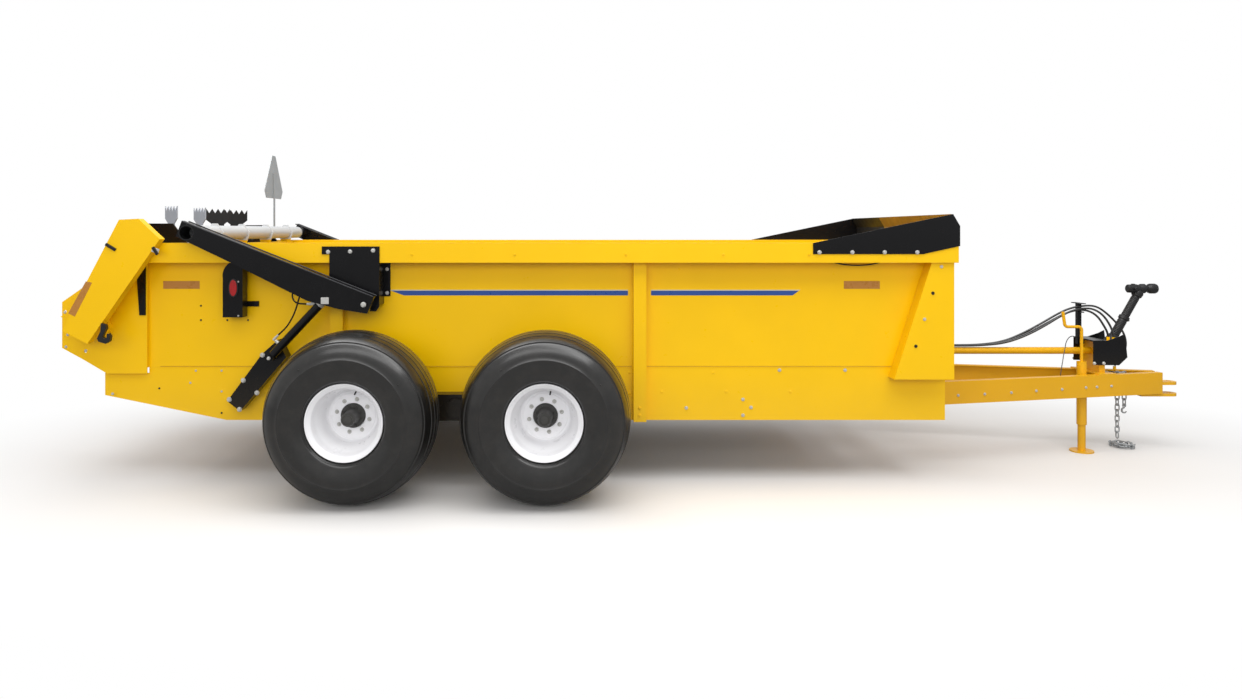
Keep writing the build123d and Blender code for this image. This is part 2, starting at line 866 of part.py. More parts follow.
save(gate_hangers, "gate_hangers")

arm_outline = ((-3042, 1710), (-1835, 1233), (-1877, 1125), (-2055, 1154), (-2255, 1206), (-2749, 1453), (-3080, 1611))
arm_boss_radius = 36
with BuildPart() as gate_arms:
    with BuildSketch(Plane.XZ.offset(arm_inner_y)) as arm_face:
        with BuildLine():
            Polyline(*arm_outline, close=True)
        make_face()
    extrude(arm_face.sketch, amount=arm_outer_y - arm_inner_y)
    with BuildSketch(Plane.XZ.offset(arm_inner_y)) as arm_hollow:
        add(arm_face.sketch_local)
        offset(amount=-arm_web, kind=Kind.INTERSECTION, mode=Mode.REPLACE)
    extrude(arm_hollow.sketch, amount=arm_outer_y - arm_inner_y - arm_web, mode=Mode.SUBTRACT)
    round_bar(
        (gate_pivot_x, -hanger_face_y - 5, gate_pivot_z),
        (gate_pivot_x, -arm_outer_y, gate_pivot_z),
        arm_boss_radius,
    )
    round_bar(
        (gate_pivot_x, -hanger_face_y - 5, gate_pivot_z),
        (gate_pivot_x, -arm_outer_y, gate_pivot_z),
        gate_pin_radius + pin_gap,
        Mode.SUBTRACT,
    )
    round_bar(
        (gate_tube_x, -arm_inner_y, gate_tube_z),
        (gate_tube_x, -arm_outer_y, gate_tube_z),
        gate_tube_radius + seat_gap,
        Mode.SUBTRACT,
    )
    mirror(about=Plane.XZ)
save(gate_arms, "gate_arms")

with BuildPart() as gate_tube:
    round_bar((gate_tube_x, -arm_outer_y, gate_tube_z), (gate_tube_x, arm_outer_y, gate_tube_z), gate_tube_radius)
    round_bar(
        (gate_tube_x, -arm_outer_y, gate_tube_z),
        (gate_tube_x, arm_outer_y, gate_tube_z),
        gate_tube_radius - gate_tube_wall,
        Mode.SUBTRACT,
    )
save(gate_tube, "gate_tube")

lug_y_list = (-700, -240, 240, 700)
lug_thickness = 12
lug_half = 62
gate_top_z = 1560
gate_rib = 30
with BuildPart() as gate_panel:
    block(
        (gate_tube_x - gate_thickness / 2, gate_tube_x + gate_thickness / 2),
        (-gate_half_width, gate_half_width),
        (gate_bottom_z, gate_top_z),
    )
    for lug_y in lug_y_list:
        plate_y(
            [
                (gate_tube_x - lug_half, gate_tube_z),
                (gate_tube_x - gate_thickness / 2, gate_top_z - 60),
                (gate_tube_x + gate_thickness / 2, gate_top_z - 60),
                (gate_tube_x + lug_half, gate_tube_z),
                (gate_tube_x + gate_thickness / 2, gate_tube_z + lug_half),
                (gate_tube_x - gate_thickness / 2, gate_tube_z + lug_half),
            ],
            lug_y - lug_thickness / 2,
            lug_y + lug_thickness / 2,
        )
    round_bar(
        (gate_tube_x, -gate_half_width, gate_tube_z),
        (gate_tube_x, gate_half_width, gate_tube_z),
        gate_tube_radius + seat_gap,
        Mode.SUBTRACT,
    )
save(gate_panel, "gate_panel")

sign_y = 424
sign_low_z = 1908
sign_high_z = 2252
sign_half_width = 203
sign_top_half = 36
sign_corner = 62
sign_sheet = 3
stem_half = 14
with BuildPart() as gate_sign:
    plate_x(
        [
            (sign_y - sign_half_width, sign_low_z + sign_corner),
            (sign_y - sign_half_width + sign_top_half, sign_low_z),
            (sign_y + sign_half_width - sign_top_half, sign_low_z),
            (sign_y + sign_half_width, sign_low_z + sign_corner),
            (sign_y + sign_top_half, sign_high_z),
            (sign_y - sign_top_half, sign_high_z),
        ],
        gate_tube_x - sign_sheet,
        gate_tube_x,
    )
    block(
        (gate_tube_x, gate_tube_x + sheet),
        (sign_y - stem_half, sign_y + stem_half),
        (gate_tube_z + gate_tube_radius + seat_gap, sign_low_z + sign_half_width),
    )
save(gate_sign, "gate_sign")

# ---- endgate cylinders --------------------------------------------------------------------
cylinder_run = Vector(cos(radians(cylinder_angle)), 0, sin(radians(cylinder_angle)))
cylinder_eye_radius = 26
cylinder_eye_half = 15
barrel_start = 30
bore_start = 60
barrel_end = 490
piston_start = 80


def along(distance, y=-cylinder_y):
    """Point on the right cylinder's axis line, in the plane at y."""
    return (cylinder_base_x + cylinder_run.X * distance, y, cylinder_base_z + cylinder_run.Z * distance)


with BuildPart() as cylinder_barrel:
    round_bar(along(0, -cylinder_y - cylinder_eye_half), along(0, -cylinder_y + cylinder_eye_half), cylinder_eye_radius)
    round_bar(along(cylinder_eye_radius / 2), along(barrel_start), cylinder_eye_half)
    round_bar(along(barrel_start), along(barrel_end), barrel_radius)
    round_bar(along(bore_start), along(barrel_end), rod_radius + pin_gap, Mode.SUBTRACT)
    round_bar(
        along(0, -cylinder_y - cylinder_eye_half),
        along(0, -cylinder_y + cylinder_eye_half),
        cylinder_pin_radius + pin_gap,
        Mode.SUBTRACT,
    )
save(cylinder_barrel, "cylinder_barrel_right")
save_mirrored(cylinder_barrel, "cylinder_barrel_left")

with BuildPart() as cylinder_rod:
    round_bar(along(piston_start), along(cylinder_closed - cylinder_eye_radius / 2), rod_radius)
    round_bar(
        along(cylinder_closed, -cylinder_y - cylinder_eye_half),
        along(cylinder_closed, -cylinder_y + cylinder_eye_half),
        cylinder_eye_radius,
    )
    round_bar(
        along(cylinder_closed, -cylinder_y - cylinder_eye_half),
        along(cylinder_closed, arm_web + 0.5 - arm_outer_y),
        cylinder_pin_radius,
    )
save(cylinder_rod, "cylinder_rod_right")
save_mirrored(cylinder_rod, "cylinder_rod_left")

mount_face_y = 965
mount_outline = ((-2822, 545), (-2739, 479), (-2441, 828), (-2495, 941), (-2597, 850))
with BuildPart() as cylinder_mounts:
    with BuildSketch(Plane.XZ.offset(box_half_width)) as mount_face:
        with BuildLine():
            Polyline(*mount_outline, close=True)
        make_face()
    extrude(mount_face.sketch, amount=mount_face_y - box_half_width)
    with BuildSketch(Plane.XZ.offset(box_half_width)) as mount_hollow:
        add(mount_face.sketch_local)
        offset(amount=-arm_web, kind=Kind.INTERSECTION, mode=Mode.REPLACE)
    extrude(mount_hollow.sketch, amount=mount_face_y - box_half_width - arm_web, mode=Mode.SUBTRACT)
    round_bar(
        along(0, -mount_face_y - seat_gap), along(0, 0.5 + cylinder_eye_half - cylinder_y), pin_head_radius
    )
    round_bar(
        along(0, -mount_face_y - seat_gap), along(0, -cylinder_y - cylinder_eye_half - 0.5), cylinder_pin_radius
    )
    round_bar(
        along(0, -cylinder_y - cylinder_eye_half - 0.5),
        along(0, -cylinder_y - cylinder_eye_half - 0.5 - pin_head),
        cylinder_eye_half + 3,
    )
    mirror(about=Plane.XZ)
save(cylinder_mounts, "cylinder_mounts")

# ---- jack ---------------------------------------------------------------------------------
jack_bore = jack_leg_radius + pin_gap
jack_cap = 8
with BuildPart() as jack_housing:
    round_bar((jack_x, jack_y, jack_tube_bottom_z), (jack_x, jack_y, jack_tube_top_z), jack_tube_radius)
    plate_z(
        [
            (jack_x - 30, drawbar_web + seat_gap - drawbar_y(jack_x - 30)),
            (jack_x + 30, drawbar_web + seat_gap - drawbar_y(jack_x + 30)),
            (jack_x + 30, jack_y - 12),
            (jack_x - 30, jack_y - 12),
        ],
        470,
        530,
    )
    round_bar(
        (jack_x, jack_y, jack_tube_bottom_z),
        (jack_x, jack_y, jack_tube_top_z - jack_cap),
        jack_bore,
        Mode.SUBTRACT,
    )
save(jack_housing, "jack_housing")

crank_radius = 11
crank_bend = 25
with BuildPart() as jack_crank:
    with BuildLine() as crank_line:
        FilletPolyline(
            (jack_x, jack_y, jack_tube_top_z),
            (jack_x, jack_y, 930),
            (jack_x - 124, jack_y, 930),
            (jack_x - 140, jack_y, 1042),
            radius=crank_bend,
        )
    with BuildSketch(Plane(origin=crank_line.line @ 0, z_dir=crank_line.line % 0)) as crank_section:
        Circle(crank_radius)
    sweep(crank_section.sketch, path=crank_line.line)
save(jack_crank, "jack_crank")

foot_thickness = 10
leg_top_z = 560
with BuildPart() as jack_leg:
    round_bar((jack_x, jack_y, 0), (jack_x, jack_y, foot_thickness), jack_foot_radius)
    round_bar((jack_x, jack_y, foot_thickness), (jack_x, jack_y, leg_top_z), jack_leg_radius)
save(jack_leg, "jack_leg")

# ---- driveline ----------------------------------------------------------------------------
gearbox_half = 100
gearbox_low_z = line_shaft_z - 40
rear_gearbox_x = (-2925, -2765)
front_box_x = (front_member_x[0] + member_width / 2, front_member_x[1] - member_width / 2)
cross_shaft_x = (rear_gearbox_x[0] + rear_gearbox_x[1]) / 2
with BuildPart() as line_shaft:
    block(front_box_x, (-gearbox_half, gearbox_half), (gearbox_low_z, driveline_z + gearbox_half / 2))
    block(
        rear_gearbox_x,
        (-gearbox_half, gearbox_half),
        (line_shaft_z - gearbox_half, line_shaft_z + line_shaft_radius),
    )
    round_bar(
        (rear_gearbox_x[1] + seat_gap, 0, line_shaft_z),
        (front_box_x[0] - seat_gap, 0, line_shaft_z),
        line_shaft_radius,
    )
    round_bar(
        (cross_shaft_x, -gearbox_half - seat_gap, line_shaft_z - gearbox_half / 2),
        (cross_shaft_x, seat_gap - sill_inner_y, line_shaft_z - gearbox_half / 2),
        line_shaft_radius,
    )
save(line_shaft, "line_shaft")

support_x = (3337, 3379)
support_half = 110
support_top_z = 822
base_thickness = 8
driveline_end_x = support_x[1] + 10
with BuildPart() as driveline_tube:
    round_bar((front_box_x[1] + seat_gap, 0, driveline_z), (driveline_end_x, 0, driveline_z), driveline_radius)
save(driveline_tube, "driveline_tube")

base_x = (3290, 3440)
with BuildPart() as pto_support:
    plate_z(
        [
            (base_x[0], -drawbar_y(base_x[0])),
            (base_x[1], -drawbar_y(base_x[1])),
            (base_x[1], drawbar_y(base_x[1])),
            (base_x[0], drawbar_y(base_x[0])),
        ],
        drawbar_top_z,
        drawbar_top_z + base_thickness,
    )
    block(support_x, (-support_half, support_half), (drawbar_top_z + base_thickness, support_top_z))
    block(
        (support_x[0] + sheet, support_x[1]),
        (-support_half + sheet, support_half - sheet),
        (drawbar_top_z + base_thickness + sheet, support_top_z - sheet),
        Mode.SUBTRACT,
    )
    round_bar(
        (support_x[0], 0, driveline_z),
        (support_x[1], 0, driveline_z),
        driveline_radius + seat_gap,
        Mode.SUBTRACT,
    )
save(pto_support, "pto_support")

# outline of a shield cheek: (x, z)
cheek_outline = ((3282, 830), (3282, 648), (3472, 645), (3535, 704), (3516, 878), (3472, 856), (3390, 830))
cheek_sheet = 8
with BuildPart() as pto_shield:
    for cheek_y in (-shield_half_width, shield_half_width - cheek_sheet):
        plate_y(cheek_outline, cheek_y, cheek_y + cheek_sheet)
    block((3282, 3390), (-shield_half_width, shield_half_width), (support_top_z, 830))
save(pto_shield, "pto_shield")

pto_run = Vector(cos(radians(pto_angle)), 0, sin(radians(pto_angle)))
pto_tip = Vector(pto_pivot_x, 0, driveline_z) + pto_run * pto_length
pto_bell_radius = 38
pto_bell_x = (-79, 74)
pto_yoke_end = 122
pto_bore_radius = 17.5
pto_bore_depth = 60
with BuildPart() as pto_shaft:
    round_bar(
        (pto_pivot_x, 0, driveline_z),
        tuple(Vector(pto_pivot_x, 0, driveline_z) + pto_run * (pto_length - 20)),
        pto_tube_radius,
    )
    round_bar(
        (pto_tip.X + pto_bell_x[0], 0, pto_tip.Z),
        (pto_tip.X + pto_bell_x[1], 0, pto_tip.Z),
        pto_bell_radius,
    )
    round_bar((pto_tip.X + pto_bell_x[1], 0, pto_tip.Z), (pto_tip.X + pto_yoke_end, 0, pto_tip.Z), pto_bell_radius - 4)
    round_bar(
        (pto_tip.X + pto_yoke_end - pto_bore_depth, 0, pto_tip.Z),
        (pto_tip.X + pto_yoke_end, 0, pto_tip.Z),
        pto_bore_radius,
        Mode.SUBTRACT,
    )
    # eye round the pivot pin
    round_bar((pto_pivot_x, -50, driveline_z), (pto_pivot_x, 50, driveline_z), 40)
    round_bar((pto_pivot_x, -50, driveline_z), (pto_pivot_x, 50, driveline_z), 12 + pin_gap, Mode.SUBTRACT)
save(pto_shaft, "pto_shaft")
print("pto yoke end", pto_tip.X + pto_yoke_end, pto_tip.Z)

# fixed yoke of the front joint: two ears and a cross pin on the driveline's end
ear_y = (55, 67)
with BuildPart() as front_yoke:
    for side in (-1, 1):
        y_span = sorted((side * ear_y[0], side * ear_y[1]))
        block((driveline_end_x + 10, pto_pivot_x + 22), y_span, (driveline_z - 24, driveline_z + 24))
    block((driveline_end_x + seat_gap, driveline_end_x + 16), (-ear_y[1], ear_y[1]), (driveline_z - 24, driveline_z + 24))
    round_bar((pto_pivot_x, -ear_y[1], driveline_z), (pto_pivot_x, ear_y[1], driveline_z), 12)
save(front_yoke, "front_yoke")

# ---- apron --------------------------------------------------------------------------------
apron_front_x = 1340
apron_rear_x = -3215
apron_z = 698
strand_y = 420
strand_half = 20
strand_inner = 56
strand_outer = 76
slat_height = 38
slat_width = 50
slat_half = 800
slat_spacing = 330
slat_lift = 0.6
with BuildPart() as apron:
    for middle_y in (-strand_y, strand_y):
        for low_z in (apron_z + strand_inner, apron_z - strand_outer):
            block(
                (apron_rear_x, apron_front_x),
                (middle_y - strand_half, middle_y + strand_half),
                (low_z, low_z + strand_outer - strand_inner),
            )
        # bends round the sprockets, a hair off the straight runs
        for turn_x, away in ((apron_front_x, 1), (apron_rear_x, -1)):
            with BuildSketch(Plane.XZ.offset(strand_half - middle_y)) as bend:
                with Locations((turn_x, apron_z)):
                    Circle(strand_outer)
                    Circle(strand_inner, mode=Mode.SUBTRACT)
                with Locations((turn_x - away * (strand_outer - seat_gap), apron_z)):
                    Rectangle(2 * strand_outer, 2 * strand_outer, mode=Mode.SUBTRACT)
            extrude(bend.sketch, amount=-2 * strand_half)
    slat_count = int((apron_front_x - apron_rear_x) / slat_spacing)
    upper_low_z = floor_top + slat_lift
    lower_low_z = 2 * apron_z - upper_low_z - slat_height
    for index in range(slat_count + 1):
        slat_x = apron_front_x - slat_width - index * slat_spacing
        for low_z in (upper_low_z, lower_low_z):
            block(
                (slat_x - slat_width / 2, slat_x + slat_width / 2),
                (-slat_half, slat_half),
                (low_z, low_z + slat_height),
            )
save(apron, "apron")

apron_shaft_radius = 22
sprocket_radius = 50
with BuildPart() as apron_shafts:
    for shaft_x in (apron_front_x, apron_rear_x):
        round_bar((shaft_x, seat_gap - sill_inner_y, apron_z), (shaft_x, sill_inner_y - seat_gap, apron_z), apron_shaft_radius)
        for side in (-1, 1):
            round_bar(
                (shaft_x, side * strand_y - strand_half, apron_z),
                (shaft_x, side * strand_y + strand_half, apron_z),
                sprocket_radius,
            )
save(apron_shafts, "apron_shafts")

# ---- lamps --------------------------------------------------------------------------------
lamp_rear_y = box_half_width + 30
lamp_face_y = lamp_rear_y + 80
with BuildPart() as tail_lights:
    with BuildSketch(Plane.XZ.offset(lamp_rear_y)) as hood:
        with BuildLine():
            Polyline((-2790, 1446), (-2717, 1446), (-2717, 1088), (-2845, 1088), (-2845, 1340))
            ThreePointArc((-2845, 1340), (-2832, 1408), (-2790, 1446))
        make_face()
    extrude(hood.sketch, amount=lamp_face_y - lamp_rear_y)
    block((-2790, -2740), (-lamp_rear_y, -box_half_width), (1350, 1400))
    block((-2717, -2650), (-box_half_width - 12, -box_half_width), (1150, 1185))
    block((-2745, -2717), (-lamp_rear_y, -box_half_width), (1150, 1185))
    mirror(about=Plane.XZ)
save(tail_lights, "tail_lights")

# ---- hoses --------------------------------------------------------------------------------
post_x = (3230, 3260)
hose_post_half = 15
hose_post_top_z = 1095
hose_peg_z = 1030
hose_rack_half = 64
foot_top_z = support_top_z + 8
with BuildPart() as hose_post:
    block(post_x, (-hose_post_half, hose_post_half), (foot_top_z, hose_post_top_z))
    # foot from the post forward to the shield's top plate
    block((post_x[0], 3282 - seat_gap), (-hose_post_half, hose_post_half), (support_top_z - 32, foot_top_z))
    # cap over the hoses and peg under them
    block(
        (post_x[0] - 5, post_x[1] + 5),
        (-hose_rack_half, hose_rack_half),
        (hose_post_top_z, hose_post_top_z + sheet),
    )
    block(
        (post_x[0] + 8, post_x[1] - 8),
        (-hose_rack_half, -hose_post_half),
        (hose_peg_z, hose_peg_z + pin_head),
    )
save(hose_post, "hose_post")

hose_radius = 7.5
coupler_radius = 11
coupler_length = 30
# points of each hose's middle line, from the front wall to its far coupler
hose_right_points = (
    (1576, -30, 830),
    (1760, -27, 825),
    (1950, -20, 798),
    (2140, -18, 779),
    (2330, -19, 776),
    (2510, -18, 779),
    (2680, -22, 797),
    (2830, -29, 852),
    (2965, -38, 926),
    (3080, -47, 1002),
    (3165, -52, 1046),
    (3245, -53, 1063),
    (3318, -62, 1062),
    (3385, -77, 1018),
    (3430, -90, 940),
    (3451, -95, 878),
    (3452, -95, 850),
)
hose_middle_points = (
    (1576, -1, 830),
    (1760, 0, 823),
    (1950, -2, 796),
    (2140, -1, 778),
    (2330, 0, 777),
    (2510, -2, 779),
    (2680, -4, 800),
    (2830, -10, 858),
    (2965, -18, 931),
    (3080, -27, 998),
    (3165, -33, 1038),
    (3245, -34, 1052),
    (3310, -40, 1040),
    (3365, -49, 1000),
    (3405, -58, 930),
    (3431, -62, 876),
    (3432, -62, 850),
)
hose_loop_points = (
    (1576, 28, 830),
    (1760, 26, 826),
    (1950, 20, 797),
    (2140, 18, 780),
    (2330, 17, 776),
    (2510, 17, 780),
    (2680, 15, 803),
    (2830, 8, 868),
    (2965, -4, 946),
    (3080, -18, 1020),
    (3165, -28, 1062),
    (3245, -31, 1077),
    (3330, -6, 1081),
    (3410, 35, 1066),
    (3480, 64, 1030),
    (3545, 75, 977),
    (3600, 77, 920),
    (3640, 77, 860),
    (3658, 76, 785),
    (3646, 80, 705),
    (3597, 90, 645),
    (3577, 92, 608),
)
cable_radius = 3
cable_points = (
    (3228, -8, 838),
    (3196, -20, 852),
    (3155, -36, 846),
    (3120, -56, 812),
    (3096, -84, 768),
    (3070, -112, 722),
    (3046, -140, 672),
    (3024, -162, 622),
    (3010, -176, 574),
    (3004, -194, 536),
    (3000, -216, 520),
    (2998, -237, 517),
)
bend_share = 0.45


def hose(points, radius):
    """Plain tube along a middle line, with a bend at each inner point as wide as its runs allow."""
    radii = []
    for before, here, after in zip(points, points[1:], points[2:]):
        run_in = Vector(*here) - Vector(*before)
        run_out = Vector(*after) - Vector(*here)
        turn = radians(run_in.get_angle(run_out))
        radii.append(bend_share * min(run_in.length, run_out.length) / tan(turn / 2))
    print("tightest bend", round(min(radii), 1), "for a radius of", radius)
    with BuildPart() as tube:
        with BuildLine() as middle_line:
            FilletPolyline(*points, radius=radii)
        with BuildSketch(Plane(origin=middle_line.line @ 0, z_dir=middle_line.line % 0)) as tube_section:
            Circle(radius)
        sweep(tube_section.sketch, path=middle_line.line)
    return tube


save(hose(hose_right_points, hose_radius), "hose_right")
save(hose(hose_middle_points, hose_radius), "hose_middle")
save(hose(hose_loop_points, hose_radius), "hose_loop")
save(hose(cable_points, cable_radius), "lamp_cable")

with BuildPart() as hose_couplings:
    for points in (hose_right_points, hose_middle_points, hose_loop_points):
        start = Vector(*points[0])
        wall_reach = wall_x(start.Z + coupler_radius) + seat_gap
        round_bar((wall_reach, start.Y, start.Z), (start.X - seat_gap, start.Y, start.Z), coupler_radius)
    # tab on the shield's right cheek that holds the two short hoses
    tab_top_z = 820
    block(
        (3395, 3470),
        (-shield_half_width + cheek_sheet + seat_gap, -48),
        (tab_top_z - cheek_sheet, tab_top_z),
    )
    for points in (hose_right_points, hose_middle_points):
        end = Vector(*points[-1])
        round_bar((end.X, end.Y, tab_top_z), (end.X, end.Y, end.Z - seat_gap), coupler_radius)
    end = Vector(*hose_loop_points[-1])
    # the loop's end leans, so its fitting stops a little lower
    round_bar((end.X, end.Y, drawbar_top_z + seat_gap), (end.X, end.Y, end.Z - 4), coupler_radius)
save(hose_couplings, "hose_couplings")

# ---- safety chain -------------------------------------------------------------------------
chain_bar_x = 3547
chain_bar_z = 565
chain_bar_radius = 6
chain_y = -30
link_wire = 9
link_length = 62
link_width = 40
link_play = 2.8
link_pitch = link_length - 2 * link_wire - link_play
strand_offset = (link_length - link_wire) / 2
top_link_z = chain_bar_z + chain_bar_radius + link_wire / 2 + seat_gap
strand_top_z = top_link_z + 1.5 * link_wire + 2 * seat_gap - link_length / 2
short_strand_count = 6
long_strand_foot_z = link_length / 2 + 2 * seat_gap
hook_thickness = 12
hook_eye_radius = 7.5
hook_throat_radius = 13
hook_wall = 12
hook_drop = 36          # from the hook's eye to the middle of its bend
coil_center = (3588, 35)
coil_start_turn = 224
coil_radius = 92
coil_tighten = 2.7      # how much nearer to the middle each link lies than the last
coil_pitch = link_pitch - 4.2
coil_count = 15
coil_z = 18
coil_rise = 18


def chain_link(origin, along_link, across_link):
    """One link as a flat ring of square wire, lying along one direction and facing another."""
    with BuildSketch(Plane(origin=origin, x_dir=along_link, z_dir=across_link).offset(-link_wire / 2)) as ring:
        SlotOverall(link_length, link_width)
        SlotOverall(link_length - 2 * link_wire, link_width - 2 * link_wire, mode=Mode.SUBTRACT)
    extrude(ring.sketch, amount=link_wire)


def strand(x, top_z, count):
    """Links hanging straight down, each turned a quarter from the one above."""
    for index in range(count):
        across_link = (1, 0, 0) if index % 2 else (0, 1, 0)
        chain_link((x, chain_y, top_z - index * link_pitch), (0, 0, 1), across_link)


with BuildPart() as safety_chain:
    # bar between the beams that the chain is thrown over
    bar_half = drawbar_y(chain_bar_x + chain_bar_radius) - drawbar_web - 1
    round_bar((chain_bar_x, -bar_half, chain_bar_z), (chain_bar_x, bar_half, chain_bar_z), chain_bar_radius)
    chain_link((chain_bar_x, chain_y, top_link_z), (1, 0, 0), (0, 0, 1))
    strand(chain_bar_x + strand_offset, strand_top_z, short_strand_count)
    long_strand_count = int((strand_top_z - long_strand_foot_z) / link_pitch) + 1
    strand(chain_bar_x - strand_offset, strand_top_z, long_strand_count)
    # grab hook on the short strand's last link
    eye_z = strand_top_z - (short_strand_count - 1) * link_pitch - (link_length - link_wire) / 2
    hook_plane = Plane(
        origin=(chain_bar_x + strand_offset, chain_y + hook_thickness / 2, eye_z),
        x_dir=(1, 0, 0),
        z_dir=(0, -1, 0),
    )
    with BuildSketch(hook_plane) as hook:
        Circle(hook_eye_radius + 8)
        with Locations((0, -hook_drop)):
            Circle(hook_throat_radius + hook_wall)
        Circle(hook_eye_radius, mode=Mode.SUBTRACT)
        with Locations((0, -hook_drop)):
            Circle(hook_throat_radius, mode=Mode.SUBTRACT)
        with Locations((hook_throat_radius + hook_wall / 2, hook_wall - hook_drop)):
            Rectangle(2 * hook_wall, 2 * hook_wall, mode=Mode.SUBTRACT)
    extrude(hook.sketch, amount=hook_thickness)
    # loose coil on the ground, each link leaning the other way from the last
    turn = radians(coil_start_turn)
    for index in range(coil_count):
        spread = coil_radius - coil_tighten * index
        outward = Vector(cos(turn), sin(turn), 0)
        lean = radians(45 if index % 2 else -45)
        # the first links climb to the strand
        rise = max(0, coil_rise - coil_rise * index / 3)
        chain_link(
            (coil_center[0] + spread * outward.X, coil_center[1] + spread * outward.Y, coil_z + rise),
            (-outward.Y, outward.X, 0),
            outward * sin(lean) + Vector(0, 0, cos(lean)),
        )
        turn += coil_pitch / spread
print("chain strand foot", round(strand_top_z - (long_strand_count - 1) * link_pitch - link_length / 2, 1))
save(safety_chain, "safety_chain")
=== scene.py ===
"""Dress a towed tandem-axle manure spreader: paint, rubber, fasteners, hoses and a plain studio."""

import logging
from collections.abc import Sequence
from dataclasses import dataclass, field
from enum import Enum
from math import cos, pi, radians, sin, tau

import bmesh
import bpy
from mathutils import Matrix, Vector

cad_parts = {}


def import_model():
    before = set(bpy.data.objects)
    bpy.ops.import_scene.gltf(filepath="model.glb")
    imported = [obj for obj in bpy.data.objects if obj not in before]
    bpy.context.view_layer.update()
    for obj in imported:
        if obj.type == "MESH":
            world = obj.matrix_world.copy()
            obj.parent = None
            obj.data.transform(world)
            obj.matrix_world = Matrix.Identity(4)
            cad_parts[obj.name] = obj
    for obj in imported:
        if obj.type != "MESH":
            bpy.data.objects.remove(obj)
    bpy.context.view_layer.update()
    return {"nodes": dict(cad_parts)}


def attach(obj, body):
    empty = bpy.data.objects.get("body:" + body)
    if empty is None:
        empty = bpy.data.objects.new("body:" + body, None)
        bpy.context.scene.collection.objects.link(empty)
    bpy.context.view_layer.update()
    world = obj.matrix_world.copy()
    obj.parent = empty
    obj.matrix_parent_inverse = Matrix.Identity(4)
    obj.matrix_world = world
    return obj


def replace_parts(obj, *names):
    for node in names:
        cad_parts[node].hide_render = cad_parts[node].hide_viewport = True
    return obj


LOG = logging.getLogger("spreader")
Point = tuple[float, float, float]
Pair = tuple[float, float]
Place = Point | Vector
Tree = bpy.types.NodeTree
Socket = bpy.types.NodeSocket
Ring = list[bmesh.types.BMVert]
MM = 0.001
TIP_RADIUS = 1e-6
BAR_CHAMFER = 0.2
ROOT = "spreader"
RIGHTWARD = Vector((0.0, -1.0, 0.0))
FORWARD = Vector((1.0, 0.0, 0.0))
UPWARD = Vector((0.0, 0.0, 1.0))


class Axis(Enum):
    """Direction across a flat outline, or across a change of colour."""

    X = 0
    Y = 1
    Z = 2


class Side(Enum):
    """Side of the machine, with the sign of its Y."""

    RIGHT = -1
    LEFT = 1

    @property
    def word(self) -> str:
        """Name of the side in node names."""
        return self.name.lower()

    @property
    def outward(self) -> Vector:
        """Direction away from the machine on this side."""
        return Vector((0.0, float(self.value), 0.0))

    def place(self, x: float, y: float, z: float) -> Point:
        """Point of the left half, or its mirror image on the right."""
        return x, self.value * y, z


# ---- colour and node helpers -----------------------------------------------------------------


def linear(code: str) -> tuple[float, float, float, float]:
    """Turn an sRGB hex colour into linear values.

    Args:
        code: six hex digits with a leading hash.

    Returns:
        Red, green, blue and alpha for a shader socket.
    """
    parts = [int(code[i : i + 2], 16) / 255 for i in (1, 3, 5)]
    red, green, blue = (c / 12.92 if c <= 0.04045 else ((c + 0.055) / 1.055) ** 2.4 for c in parts)
    return red, green, blue, 1.0


def add_node(
    tree: Tree, kind: str, links: dict[str | int, object] | None = None, **settings: object
) -> bpy.types.Node:
    """Add a shader node with its settings, values and links.

    Args:
        tree: the node tree that takes the node.
        kind: Blender's type name of the node.
        links: socket name or number to a value, or to the output socket that feeds it.
        **settings: properties of the node itself.

    Returns:
        The new node.
    """
    node = tree.nodes.new(kind)
    for key, value in settings.items():
        setattr(node, key, value)
    for key, value in (links or {}).items():
        if isinstance(value, Socket):
            tree.links.new(value, node.inputs[key])
        else:
            node.inputs[key].default_value = value
    return node


def per_mm(size_mm: float) -> float:
    """Pattern scale whose features are about size_mm wide in a scene in metres."""
    return 1.0 / (size_mm * MM)


# ---- finishes --------------------------------------------------------------------------------


